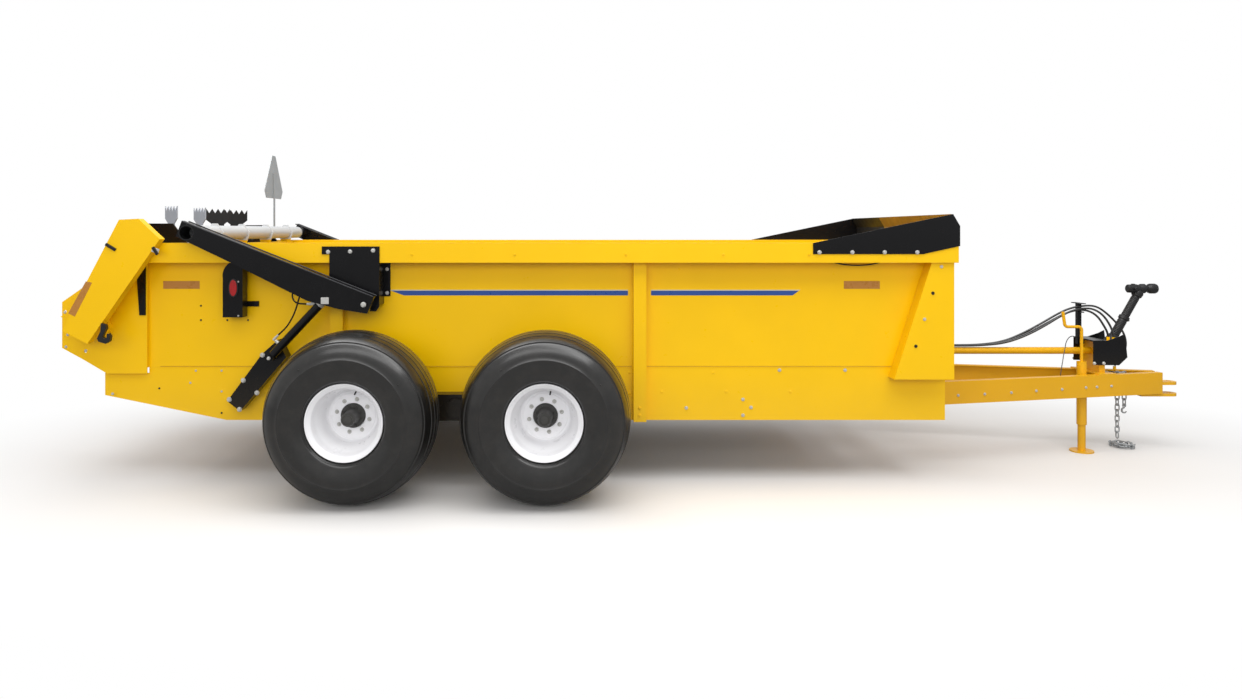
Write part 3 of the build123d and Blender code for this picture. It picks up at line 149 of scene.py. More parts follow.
@dataclass(frozen=True)
class Finish:
    """A material: what the real one is, with its colour, gloss and grain."""

    name: str
    colour: str
    roughness: float
    metallic: float = 0.0
    ior: float = 1.5
    shade: float = 0.88
    patch_mm: float = 400.0
    smear_mm: float = 60.0
    grain_mm: float = 6.0
    grain_depth_mm: float = 0.05
    slot: str = "yellow_paint"

    def build(self) -> bpy.types.Material:
        """Make the material once, and hand back the same one later.

        Returns:
            The material.
        """
        known = bpy.data.materials.get(self.name)
        if known:
            return known
        material = bpy.data.materials.new(self.name)
        material.use_nodes = True
        tree = material.node_tree
        tree.nodes.clear()
        place = add_node(tree, "ShaderNodeTexCoord").outputs["Object"]
        surface = add_node(
            tree,
            "ShaderNodeBsdfPrincipled",
            {
                "Base Color": self.colouring(tree, place),
                "Roughness": self.gloss(tree, place),
                "Metallic": self.metallic,
                "IOR": self.ior,
                "Normal": self.relief(tree, place),
            },
        )
        self.extras(surface)
        add_node(tree, "ShaderNodeOutputMaterial", {"Surface": surface.outputs[0]})
        return material

    def colouring(self, tree: Tree, place: Socket) -> Socket:
        """Colour that drifts slightly over large patches.

        Args:
            tree: node tree of the material.
            place: position on the object.

        Returns:
            The colour.
        """
        patches = add_node(
            tree, "ShaderNodeTexNoise", {"Vector": place, "Scale": per_mm(self.patch_mm), "Detail": 4.0}
        )
        base = Vector(linear(self.colour)[:3])
        ramp = add_node(tree, "ShaderNodeValToRGB", {"Fac": patches.outputs["Fac"]})
        for stop, position, tone in zip(ramp.color_ramp.elements, (0.3, 0.7), (base * self.shade, base)):
            stop.position = position
            stop.color = (*tone, 1.0)
        return ramp.outputs["Color"]

    def gloss(self, tree: Tree, place: Socket) -> Socket:
        """Roughness with faint wiping marks.

        Args:
            tree: node tree of the material.
            place: position on the object.

        Returns:
            The roughness.
        """
        marks = add_node(
            tree,
            "ShaderNodeTexNoise",
            {"Vector": place, "Scale": per_mm(self.smear_mm), "Detail": 5.0, "Roughness": 0.6},
        )
        spread = add_node(
            tree,
            "ShaderNodeMapRange",
            {
                "Value": marks.outputs["Fac"],
                "From Min": 0.3,
                "From Max": 0.7,
                "To Min": self.roughness * 0.85,
                "To Max": min(1.0, self.roughness * 1.2),
            },
        )
        return spread.outputs["Result"]

    def relief(self, tree: Tree, place: Socket) -> Socket:
        """Fine bumps of the surface's own grain.

        Args:
            tree: node tree of the material.
            place: position on the object.

        Returns:
            The bent normal.
        """
        grain = add_node(
            tree, "ShaderNodeTexNoise", {"Vector": place, "Scale": per_mm(self.grain_mm), "Detail": 2.0}
        )
        bump = add_node(
            tree,
            "ShaderNodeBump",
            {"Height": grain.outputs["Fac"], "Distance": self.grain_depth_mm * MM, "Strength": 0.6},
        )
        return bump.outputs["Normal"]

    def extras(self, surface: bpy.types.Node) -> None:
        """Nothing more by default."""


@dataclass(frozen=True)
class SprayedEnamel(Finish):
    """Two-pack enamel sprayed on steel sheet: glossy, with orange peel and a film of dust low down."""

    dust: str = "#B39A6B"
    dust_low_m: float = 0.3
    dust_top_m: float = 0.75
    dust_share: float = 0.16
    speck_mm: float = 25.0

    def colouring(self, tree: Tree, place: Socket) -> Socket:
        """Patchy colour with dust that thins out upwards.

        Args:
            tree: node tree of the material.
            place: position on the object.

        Returns:
            The colour.
        """
        paint = super().colouring(tree, place)
        height = add_node(tree, "ShaderNodeSeparateXYZ", {"Vector": place}).outputs["Z"]
        low = add_node(
            tree,
            "ShaderNodeMapRange",
            {
                "Value": height,
                "From Min": self.dust_low_m,
                "From Max": self.dust_top_m,
                "To Min": self.dust_share,
                "To Max": 0.0,
            },
        )
        specks = add_node(
            tree,
            "ShaderNodeTexNoise",
            {"Vector": place, "Scale": per_mm(self.speck_mm), "Detail": 6.0, "Roughness": 0.7},
        )
        amount = add_node(
            tree,
            "ShaderNodeMath",
            {0: low.outputs["Result"], 1: specks.outputs["Fac"]},
            operation="MULTIPLY",
            use_clamp=True,
        )
        mixed = add_node(
            tree,
            "ShaderNodeMix",
            {"Factor": amount.outputs[0], 6: paint, 7: linear(self.dust)},
            data_type="RGBA",
        )
        return mixed.outputs[2]

    def extras(self, surface: bpy.types.Node) -> None:
        """Clear gloss of the top layer."""
        surface.inputs["Coat Weight"].default_value = 0.08
        surface.inputs["Coat Roughness"].default_value = 0.12


@dataclass(frozen=True)
class TwoToneEnamel(SprayedEnamel):
    """Enamel that gives way to a second colour beyond a line across the piece."""

    second: str = "#121214"
    across: Axis = Axis.Y
    limit_m: float = 0.0
    both_ends: bool = False

    def colouring(self, tree: Tree, place: Socket) -> Socket:
        """First colour up to the line, second colour past it.

        Args:
            tree: node tree of the material.
            place: position on the object.

        Returns:
            The colour.
        """
        paint = super().colouring(tree, place)
        split = add_node(tree, "ShaderNodeSeparateXYZ", {"Vector": place})
        spot = split.outputs[self.across.name]
        if self.both_ends:
            spot = add_node(tree, "ShaderNodeMath", {0: spot}, operation="ABSOLUTE").outputs[0]
        past = add_node(tree, "ShaderNodeMath", {0: spot, 1: self.limit_m}, operation="GREATER_THAN")
        mixed = add_node(
            tree,
            "ShaderNodeMix",
            {"Factor": past.outputs[0], 6: paint, 7: linear(self.second)},
            data_type="RGBA",
        )
        return mixed.outputs[2]


@dataclass(frozen=True)
class PanelEnamel(TwoToneEnamel):
    """Two-tone colour on the inside of a panel, drawn darker as painted shade, with fresh enamel on its
    outer face.
    """

    outside: str = "#F7C300"
    facing_share: float = 0.3

    def colouring(self, tree: Tree, place: Socket) -> Socket:
        """Painted shade inside, clean yellow where the face looks forward.

        Args:
            tree: node tree of the material.
            place: position on the object.

        Returns:
            The colour.
        """
        inside = super().colouring(tree, place)
        facing = add_node(tree, "ShaderNodeTexCoord").outputs["Normal"]
        forward = add_node(tree, "ShaderNodeSeparateXYZ", {"Vector": facing}).outputs["X"]
        outer = add_node(
            tree, "ShaderNodeMath", {0: forward, 1: self.facing_share}, operation="GREATER_THAN"
        )
        mixed = add_node(
            tree,
            "ShaderNodeMix",
            {"Factor": outer.outputs[0], 6: inside, 7: linear(self.outside)},
            data_type="RGBA",
        )
        return mixed.outputs[2]


@dataclass(frozen=True)
class MottledFinish(Finish):
    """A surface with cloudy spots of a second colour."""

    mottle: str = "#34312E"
    mottle_mm: float = 90.0
    mottle_detail: float = 7.0
    mottle_roughness: float = 0.65
    mottle_range: Pair = (0.45, 0.8)
    mottle_share: float = 0.35

    def colouring(self, tree: Tree, place: Socket) -> Socket:
        """Patchy colour with the second one in spots.

        Args:
            tree: node tree of the material.
            place: position on the object.

        Returns:
            The colour.
        """
        ground = super().colouring(tree, place)
        spots = add_node(
            tree,
            "ShaderNodeTexNoise",
            {
                "Vector": place,
                "Scale": per_mm(self.mottle_mm),
                "Detail": self.mottle_detail,
                "Roughness": self.mottle_roughness,
            },
        )
        low, high = self.mottle_range
        share = add_node(
            tree,
            "ShaderNodeMapRange",
            {"Value": spots.outputs["Fac"], "From Min": low, "From Max": high, "To Max": self.mottle_share},
        )
        mixed = add_node(
            tree,
            "ShaderNodeMix",
            {"Factor": share.outputs["Result"], 6: ground, 7: linear(self.mottle)},
            data_type="RGBA",
        )
        return mixed.outputs[2]


@dataclass(frozen=True)
class CuredRubber(MottledFinish):
    """Black vulcanised rubber: finely pitted, with a grey bloom, dressed to a sheen."""

    slot: str = "tyre_rubber"

    def extras(self, surface: bpy.types.Node) -> None:
        """Thin gloss that the shoulders show as pale streaks."""
        surface.inputs["Coat Weight"].default_value = 0.75
        surface.inputs["Coat Roughness"].default_value = 0.2


@dataclass(frozen=True)
class GalvanisedSteel(Finish):
    """Zinc-coated steel: grey, with flat crystals of spangle."""

    slot: str = "worn_steel"
    spangle: str = "#5E6266"
    spangle_mm: float = 9.0

    def colouring(self, tree: Tree, place: Socket) -> Socket:
        """Grey that steps from crystal to crystal.

        Args:
            tree: node tree of the material.
            place: position on the object.

        Returns:
            The colour.
        """
        zinc = super().colouring(tree, place)
        crystals = add_node(
            tree, "ShaderNodeTexVoronoi", {"Vector": place, "Scale": per_mm(self.spangle_mm)}
        )
        step = add_node(tree, "ShaderNodeRGBToBW", {"Color": crystals.outputs["Color"]})
        shade = add_node(
            tree,
            "ShaderNodeMapRange",
            {"Value": step.outputs["Val"], "To Max": 0.3},
        )
        mixed = add_node(
            tree,
            "ShaderNodeMix",
            {"Factor": shade.outputs["Result"], 6: zinc, 7: linear(self.spangle)},
            data_type="RGBA",
        )
        return mixed.outputs[2]


@dataclass(frozen=True)
class ScrubbedSteel(MottledFinish):
    """Bare steel rubbed bright by the load, with rust left in the hollows."""

    slot: str = "worn_steel"
    mottle: str = "#6E4A2E"
    mottle_mm: float = 35.0
    mottle_detail: float = 8.0
    mottle_roughness: float = 0.7
    mottle_range: Pair = (0.5, 0.7)
    mottle_share: float = 0.7


@dataclass(frozen=True)
class PlankedFloor(Finish):
    """Sawn planks laid along the box, with grain and dark gaps."""

    slot: str = "floor_planks"
    damp: str = "#5B4A34"
    gap: str = "#1D1712"
    plank_mm: float = 140.0
    gap_share: float = 0.04
    ring_mm: float = 7.0

    def colouring(self, tree: Tree, place: Socket) -> Socket:
        """Grain drawn out along the planks, with dark joints.

        Args:
            tree: node tree of the material.
            place: position on the object.

        Returns:
            The colour.
        """
        stretched = add_node(tree, "ShaderNodeMapping", {"Vector": place, "Scale": (0.04, 1.0, 1.0)})
        grain = add_node(
            tree,
            "ShaderNodeTexNoise",
            {"Vector": stretched.outputs["Vector"], "Scale": per_mm(self.ring_mm), "Detail": 5.0},
        )
        ramp = add_node(tree, "ShaderNodeValToRGB", {"Fac": grain.outputs["Fac"]})
        for stop, position, tone in zip(ramp.color_ramp.elements, (0.35, 0.7), (self.damp, self.colour)):
            stop.position = position
            stop.color = linear(tone)
        across = add_node(tree, "ShaderNodeSeparateXYZ", {"Vector": place}).outputs["Y"]
        planks = add_node(
            tree, "ShaderNodeMath", {0: across, 1: per_mm(self.plank_mm)}, operation="MULTIPLY"
        )
        part = add_node(tree, "ShaderNodeMath", {0: planks.outputs[0]}, operation="FRACT")
        joint = add_node(
            tree, "ShaderNodeMath", {0: part.outputs[0], 1: self.gap_share}, operation="LESS_THAN"
        )
        mixed = add_node(
            tree,
            "ShaderNodeMix",
            {"Factor": joint.outputs[0], 6: ramp.outputs["Color"], 7: linear(self.gap)},
            data_type="RGBA",
        )
        return mixed.outputs[2]


@dataclass(frozen=True)
class RibbedLens(Finish):
    """Moulded polycarbonate lens: clear colour over upright ribs that spread the light."""

    slot: str = "lens_red"
    rib_mm: float = 8.0
    rib_depth_mm: float = 1.5

    def relief(self, tree: Tree, place: Socket) -> Socket:
        """Round ribs side by side.

        Args:
            tree: node tree of the material.
            place: position on the object.

        Returns:
            The bent normal.
        """
        ribs = add_node(
            tree,
            "ShaderNodeTexWave",
            {"Vector": place, "Scale": 0.5 * per_mm(self.rib_mm) / pi},
            bands_direction="X",
            wave_profile="SIN",
        )
        bump = add_node(
            tree,
            "ShaderNodeBump",
            {"Height": ribs.outputs["Fac"], "Distance": self.rib_depth_mm * MM, "Strength": 0.8},
        )
        return bump.outputs["Normal"]

    def extras(self, surface: bpy.types.Node) -> None:
        """Glossy skin over the ribs."""
        surface.inputs["Coat Weight"].default_value = 0.8
        surface.inputs["Coat Roughness"].default_value = 0.03


@dataclass(frozen=True)
class PrismTape(Finish):
    """Retroreflective tape: tiny prisms sealed under film, seen as a fine honeycomb.

    The real prisms are a fraction of a millimetre wide. The cells are drawn coarser, so that they show.
    """

    slot: str = "reflector_tape"
    seam: str = "#E8C98A"
    cell_mm: float = 5.0
    seam_share: float = 0.06

    def colouring(self, tree: Tree, place: Socket) -> Socket:
        """Cells with paler seams between them.

        Args:
            tree: node tree of the material.
            place: position on the object.

        Returns:
            The colour.
        """
        film = super().colouring(tree, place)
        cells = add_node(
            tree,
            "ShaderNodeTexVoronoi",
            {"Vector": place, "Scale": per_mm(self.cell_mm), "Randomness": 0.0},
            feature="DISTANCE_TO_EDGE",
        )
        edge = add_node(
            tree,
            "ShaderNodeMath",
            {0: cells.outputs["Distance"], 1: self.seam_share},
            operation="LESS_THAN",
        )
        soft = add_node(tree, "ShaderNodeMath", {0: edge.outputs[0], 1: 0.25}, operation="MULTIPLY")
        mixed = add_node(
            tree,
            "ShaderNodeMix",
            {"Factor": soft.outputs[0], 6: film, 7: linear(self.seam)},
            data_type="RGBA",
        )
        return mixed.outputs[2]


# Sprayed farm yellow: bright and glossy, deep orange in its shadows.
YELLOW = SprayedEnamel(
    "sprayed_yellow_enamel", "#F7C300", 0.32, ior=1.4, shade=0.95, grain_mm=7.0, grain_depth_mm=0.04
)
# Drawbar yellow: the same enamel, a little deeper where it sits in the shade of the box.
DRAWBAR_YELLOW = SprayedEnamel("sprayed_drawbar_enamel", "#EAAE0C", 0.34, ior=1.4, shade=0.94)
# Black frame enamel: half gloss, picks up pale streaks from the lamps.
BLACK = SprayedEnamel(
    "sprayed_black_enamel", "#0F0F11", 0.24, ior=1.34, shade=0.8, slot="black_paint", dust_share=0.1
)
# Black enamel drawn greyer along the arms' folded lips: a painted highlight on their edges, a greyer,
# duller line.
LIP_HIGHLIGHT_BLACK = SprayedEnamel(
    "black_enamel_painted_highlight", "#2E2E31", 0.3, ior=1.4, shade=0.6, patch_mm=30.0, slot="black_paint"
)
# Wheel white: cool enamel baked on pressed steel.
WHITE = SprayedEnamel(
    "baked_white_enamel", "#F9F9FC", 0.3, ior=1.42, shade=0.97, slot="white_paint", dust_share=0.1
)
# Paddle grey on the near half of the beater and black on the far half: satin, scuffed by the load.
BEATER_GREY = TwoToneEnamel(
    "beater_half_grey_enamel", "#A4A8B0", 0.42, shade=0.88, slot="grey_paint", dust_share=0.0
)
# Light grey enamel of the gate's tube. Its ends inside the arms are black: black paint there, and painted
# shade inside the open tube ends.
TUBE_GREY = TwoToneEnamel(
    "light_grey_tube_enamel",
    "#C6C8C9",
    0.34,
    shade=0.95,
    slot="light_grey_paint",
    limit_m=0.985,
    both_ends=True,
)
# Tyre rubber: black with a soft sheen on the shoulders.
RUBBER = CuredRubber(
    "vulcanised_rubber", "#161514", 0.36, ior=1.42, shade=0.8, grain_mm=3.0, grain_depth_mm=0.12
)
# Hose cover: smooth extruded rubber with a faint bloom.
HOSE = CuredRubber(
    "extruded_hose_rubber", "#1B1B1C", 0.4, ior=1.52, grain_mm=2.0, slot="hose_rubber", mottle="#333335"
)
# Zinc-plated fasteners: pale metal with a yellow cast.
ZINC = GalvanisedSteel("zinc_plated_steel", "#DAD9D4", 0.34, metallic=0.4, grain_mm=2.0, spangle_mm=4.0)
# Hot-dip galvanised chain: cooler and rougher.
GALVANISED = GalvanisedSteel("hot_dip_galvanised", "#BDC0C2", 0.4, metallic=0.55, grain_mm=3.0)
# Worn steel of the slats and shafts: rubbed bright, brown in the hollows.
SCRUBBED = ScrubbedSteel("scrubbed_bare_steel", "#8C8A86", 0.45, metallic=0.8, grain_mm=4.0)
# Hard chrome on the piston rods: a mirror with hardly any grain.
CHROME = Finish(
    "hard_chrome", "#D9DCE0", 0.1, metallic=1.0, shade=0.96, grain_depth_mm=0.01, slot="chrome_rod"
)
# Brushed aluminium of the sign's back: pale and dull.
ALUMINIUM = Finish("brushed_aluminium", "#C3C7C9", 0.38, metallic=0.85, shade=0.9, slot="bare_aluminium")
# Planks of the box floor: greyed brown wood with open grain.
PLANKS = PlankedFloor("weathered_planks", "#9A8260", 0.75, grain_mm=5.0, grain_depth_mm=0.4)
# Blue vinyl stripe, cut from cast film: flat and even.
BLUE_FILM = Finish("cast_blue_vinyl", "#2B4F96", 0.3, shade=0.92, grain_depth_mm=0.01, slot="stripe_blue")
# Pale edge of the stripe's film.
PALE_FILM = Finish("cast_pale_vinyl", "#C9C7B4", 0.35, shade=0.95, grain_depth_mm=0.01, slot="stripe_pale")
# Amber side tape: a brown glow with pale seams.
AMBER_TAPE = PrismTape("amber_prism_tape", "#B4762B", 0.28, patch_mm=60.0)
# Red lens of the tail lamp: wet gloss over ribs.
RED_LENS = RibbedLens("moulded_red_lens", "#B01318", 0.12, ior=1.58)
# Inside of the front extension: yellow enamel drawn dark amber as painted shade, and black beyond Y 0.33.
SHADED_PANEL_INSIDE = PanelEnamel(
    "panel_enamel_painted_shade", "#A87E2A", 0.5, shade=0.7, patch_mm=180.0, dust_share=0.0, limit_m=0.33
)
# Gate panel: yellow below, and sprayed grey with the tube where its clamps go round it.
PANEL_YELLOW = TwoToneEnamel(
    "gate_panel_enamel",
    "#F7C300",
    0.32,
    ior=1.4,
    shade=0.95,
    second="#C6C8C9",
    across=Axis.Z,
    limit_m=1.578,
)
# Dull brown line along the lap between sheet and sill: a painted shadow line at the seam.
LAP_SHADOW_BROWN = Finish("aged_joint_sealer", "#B07A18", 0.6, shade=0.8)
# Hub castings: dark paint over rough iron.
HUB = Finish(
    "painted_hub_casting",
    "#454442",
    0.46,
    ior=1.4,
    shade=0.8,
    grain_mm=4.0,
    grain_depth_mm=0.3,
    slot="black_paint",
)
# Moulded black plastic of guards and caps: dull, with a fine grain.
PLASTIC = Finish("moulded_black_plastic", "#19191B", 0.45, shade=0.85, grain_mm=1.5, slot="black_paint")


# ---- mesh helpers ----------------------------------------------------------------------------


@dataclass(frozen=True)
class BoltForm:
    """Proportions of a hexagon bolt and its washer.

    They are shares of the size across the flats. Those of the chamfer are shares of the head's own
    height and corner radius.
    """

    washer_height: float = 0.12
    washer_foot: float = 0.74
    washer_top: float = 0.70
    head_height: float = 0.42
    shank_radius: float = 0.30
    chamfer_height: float = 0.85
    chamfer_radius: float = 0.86


@dataclass
class Shape:
    """A mesh under construction, in the row frame and in metres."""

    work: bmesh.types.BMesh = field(default_factory=bmesh.new)
    form: BoltForm = BoltForm()

    def prism(self, outline: Sequence[Pair], axis: Axis, low: float, high: float) -> "Shape":
        """Thicken a flat outline along one axis.

        Args:
            outline: corners as pairs of the two other coordinates, in X, Y, Z order.
            axis: direction of the thickness.
            low: first face's coordinate.
            high: second face's coordinate.

        Returns:
            The shape itself.
        """
        rings = []
        for depth in (low, high):
            ring = []
            for first, second in outline:
                place = [first, second]
                place.insert(axis.value, depth)
                ring.append(self.work.verts.new(place))
            rings.append(ring)
        self.work.faces.new(rings[0])
        self.work.faces.new(list(reversed(rings[1])))
        self.skirt(rings[0], rings[1])
        return self

    def skirt(self, first: Ring, second: Ring) -> None:
        """Join two closed rings of equal count with quads.

        Args:
            first: corners of one ring.
            second: corners of the other, in the same order.
        """
        count = len(first)
        for index in range(count):
            after = (index + 1) % count
            self.work.faces.new((first[index], second[index], second[after], first[after]))

    def fan(self, tip: bmesh.types.BMVert, ring: Ring) -> None:
        """Close a ring to a tip with triangles.

        Args:
            tip: the corner that all triangles share.
            ring: corners of the ring.
        """
        for index, vertex in enumerate(ring):
            self.work.faces.new((tip, vertex, ring[(index + 1) % len(ring)]))

    def ring(self, middle: Vector, side: Vector, other: Vector, radius: float, steps: int) -> Ring:
        """Corners of a circle.

        Args:
            middle: its centre.
            side: unit direction from the centre to the first corner.
            other: unit direction a quarter turn on.
            radius: its radius.
            steps: count of corners.

        Returns:
            The new corners.
        """
        corners = []
        for step in range(steps):
            turn = tau * step / steps
            corners.append(self.work.verts.new(middle + (side * cos(turn) + other * sin(turn)) * radius))
        return corners

    def block(self, low: Point, high: Point) -> "Shape":
        """Straight block between two corners."""
        outline = [(low[0], low[1]), (high[0], low[1]), (high[0], high[1]), (low[0], high[1])]
        return self.prism(outline, Axis.Z, low[2], high[2])

    def lathe(self, profile: Sequence[Pair], centre: Place, axis: Vector, steps: int = 64) -> "Shape":
        """Turn a profile round an axis.

        Args:
            profile: pairs of distance along the axis and radius.
            centre: point on the axis where the distance is 0.
            axis: unit direction of the axis.
            steps: count of flats round the axis.

        Returns:
            The shape itself.
        """
        side = axis.orthogonal().normalized()
        other = axis.cross(side)
        looped = profile[0] == profile[-1]
        rings = []
        for distance, radius in profile[:-1] if looped else profile:
            middle = Vector(centre) + axis * distance
            if radius < TIP_RADIUS:
                rings.append([self.work.verts.new(middle)])
            else:
                rings.append(self.ring(middle, side, other, radius, steps))
        if looped:
            rings.append(rings[0])
        for first, second in zip(rings, rings[1:]):
            if len(first) == len(second) == 1:
                continue
            if len(first) == len(second):
                self.skirt(first, second)
            elif len(first) == 1:
                self.fan(first[0], second)
            else:
                self.fan(second[0], first)
        for ring in (rings[0], rings[-1]):
            if len(ring) > 1 and not looped:
                self.work.faces.new(ring)
        return self

    def bar(self, start: Place, end: Place, radius: float, steps: int = 24) -> "Shape":
        """Round bar with slightly chamfered ends.

        Args:
            start: middle of one end.
            end: middle of the other end.
            radius: its radius.
            steps: count of flats round it.

        Returns:
            The shape itself.
        """
        run = Vector(end) - Vector(start)
        chamfer = min(radius, run.length) * BAR_CHAMFER
        profile = [
            (0.0, 0.0),
            (0.0, radius - chamfer),
            (chamfer, radius),
            (run.length - chamfer, radius),
            (run.length, radius - chamfer),
            (run.length, 0.0),
        ]
        return self.lathe(profile, start, run.normalized(), steps)

    def bolt(self, seat: Place, axis: Vector, flats: float, shank: float = 0.0) -> "Shape":
        """Hexagon head on a washer, and a shank's end if it has one.

        Args:
            seat: point on the surface under the washer.
            axis: direction that the head stands out in.
            flats: size across the flats.
            shank: length of thread that shows past the nut.

        Returns:
            The shape itself.
        """
        form = self.form
        washer = flats * form.washer_height
        foot, rim = flats * form.washer_foot, flats * form.washer_top
        self.lathe([(0.0, 0.0), (0.0, foot), (washer, rim), (washer, 0.0)], seat, axis, steps=20)
        top = Vector(seat) + axis * washer
        head = flats * form.head_height
        corner = flats / 3**0.5
        chamfer = [(head * form.chamfer_height, corner), (head, corner * form.chamfer_radius)]
        self.lathe([(0.0, 0.0), (0.0, corner), *chamfer, (head, 0.0)], top, axis, steps=6)
        if shank:
            self.bar(top, top + axis * (head + shank), flats * form.shank_radius, steps=12)
        return self

    def bolts(self, places: Sequence[Pair], y: float, side: Side, flats: float) -> "Shape":
        """Row of bolts on one upright face of the machine.

        Args:
            places: X and Z of each bolt.
            y: distance of the face from the middle of the machine.
            side: the side that the face looks to.
            flats: size across the flats.

        Returns:
            The shape itself.
        """
        for x, z in places:
            self.bolt(side.place(x, y, z), side.outward, flats)
        return self

    def piece(
        self, name: str, finish: Finish, body: str = ROOT, bevel_mm: float = 0.0, sharp_deg: float = 32.0
    ) -> bpy.types.Object:
        """Turn the shape into an object that rides on a body.

        Args:
            name: name of the object.
            finish: its material.
            body: the body that it moves with.
            bevel_mm: width of the rounded edges, 0 for none.
            sharp_deg: edges turning more than this stay sharp.

        Returns:
            The new object.
        """
        bmesh.ops.recalc_face_normals(self.work, faces=self.work.faces[:])
        for face in self.work.faces:
            face.smooth = True
        for edge in self.work.edges:
            edge.smooth = len(edge.link_faces) == 2 and edge.calc_face_angle(0.0) < radians(sharp_deg)
        mesh = bpy.data.meshes.new(name)
        self.work.to_mesh(mesh)
        self.work.free()
        made = fit(name, mesh, finish, body)
        if bevel_mm:
            bevel = made.modifiers.new("rounded_edges", "BEVEL")
            bevel.width = bevel_mm * MM
            bevel.segments = 2
            bevel.limit_method = "ANGLE"
            bevel.angle_limit = radians(35.0)
            bevel.harden_normals = True
        return made


def fit(name: str, data: bpy.types.Mesh | bpy.types.Curve, finish: Finish, body: str) -> bpy.types.Object:
    """Finish a mesh or curve and fix it to a body.

    Args:
        name: name of the object.
        data: its mesh or curve.
        finish: its material.
        body: the body that it moves with.

    Returns:
        The new object.
    """
    data.materials.append(finish.build())
    made = bpy.data.objects.new(name, data)
    bpy.context.scene.collection.objects.link(made)
    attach(made, body)
    LOG.info("%s on %s", name, body)
    return made


def line(
    name: str, points: Sequence[Point], radius: float, finish: Finish, body: str = ROOT, roundness: int = 4
) -> bpy.types.Object:
    """Smooth round line through points, closed at both ends.

    Args:
        name: name of the object.
        points: places that steer the line, in metres.
        radius: radius of the line.
        finish: its material.
        body: the body that it moves with.
        roundness: steps in a quarter of its section.

    Returns:
        The new object.
    """
    data = bpy.data.curves.new(name, "CURVE")
    data.dimensions = "3D"
    run = data.splines.new("NURBS")
    run.points.add(len(points) - 1)
    for point, place in zip(run.points, points):
        point.co = (*place, 1.0)
    run.order_u = 3
    run.use_endpoint_u = True
    data.resolution_u = 8
    data.bevel_depth = radius
    data.bevel_resolution = roundness
    data.use_fill_caps = True
    return fit(name, data, finish, body)


# ---- running gear ----------------------------------------------------------------------------


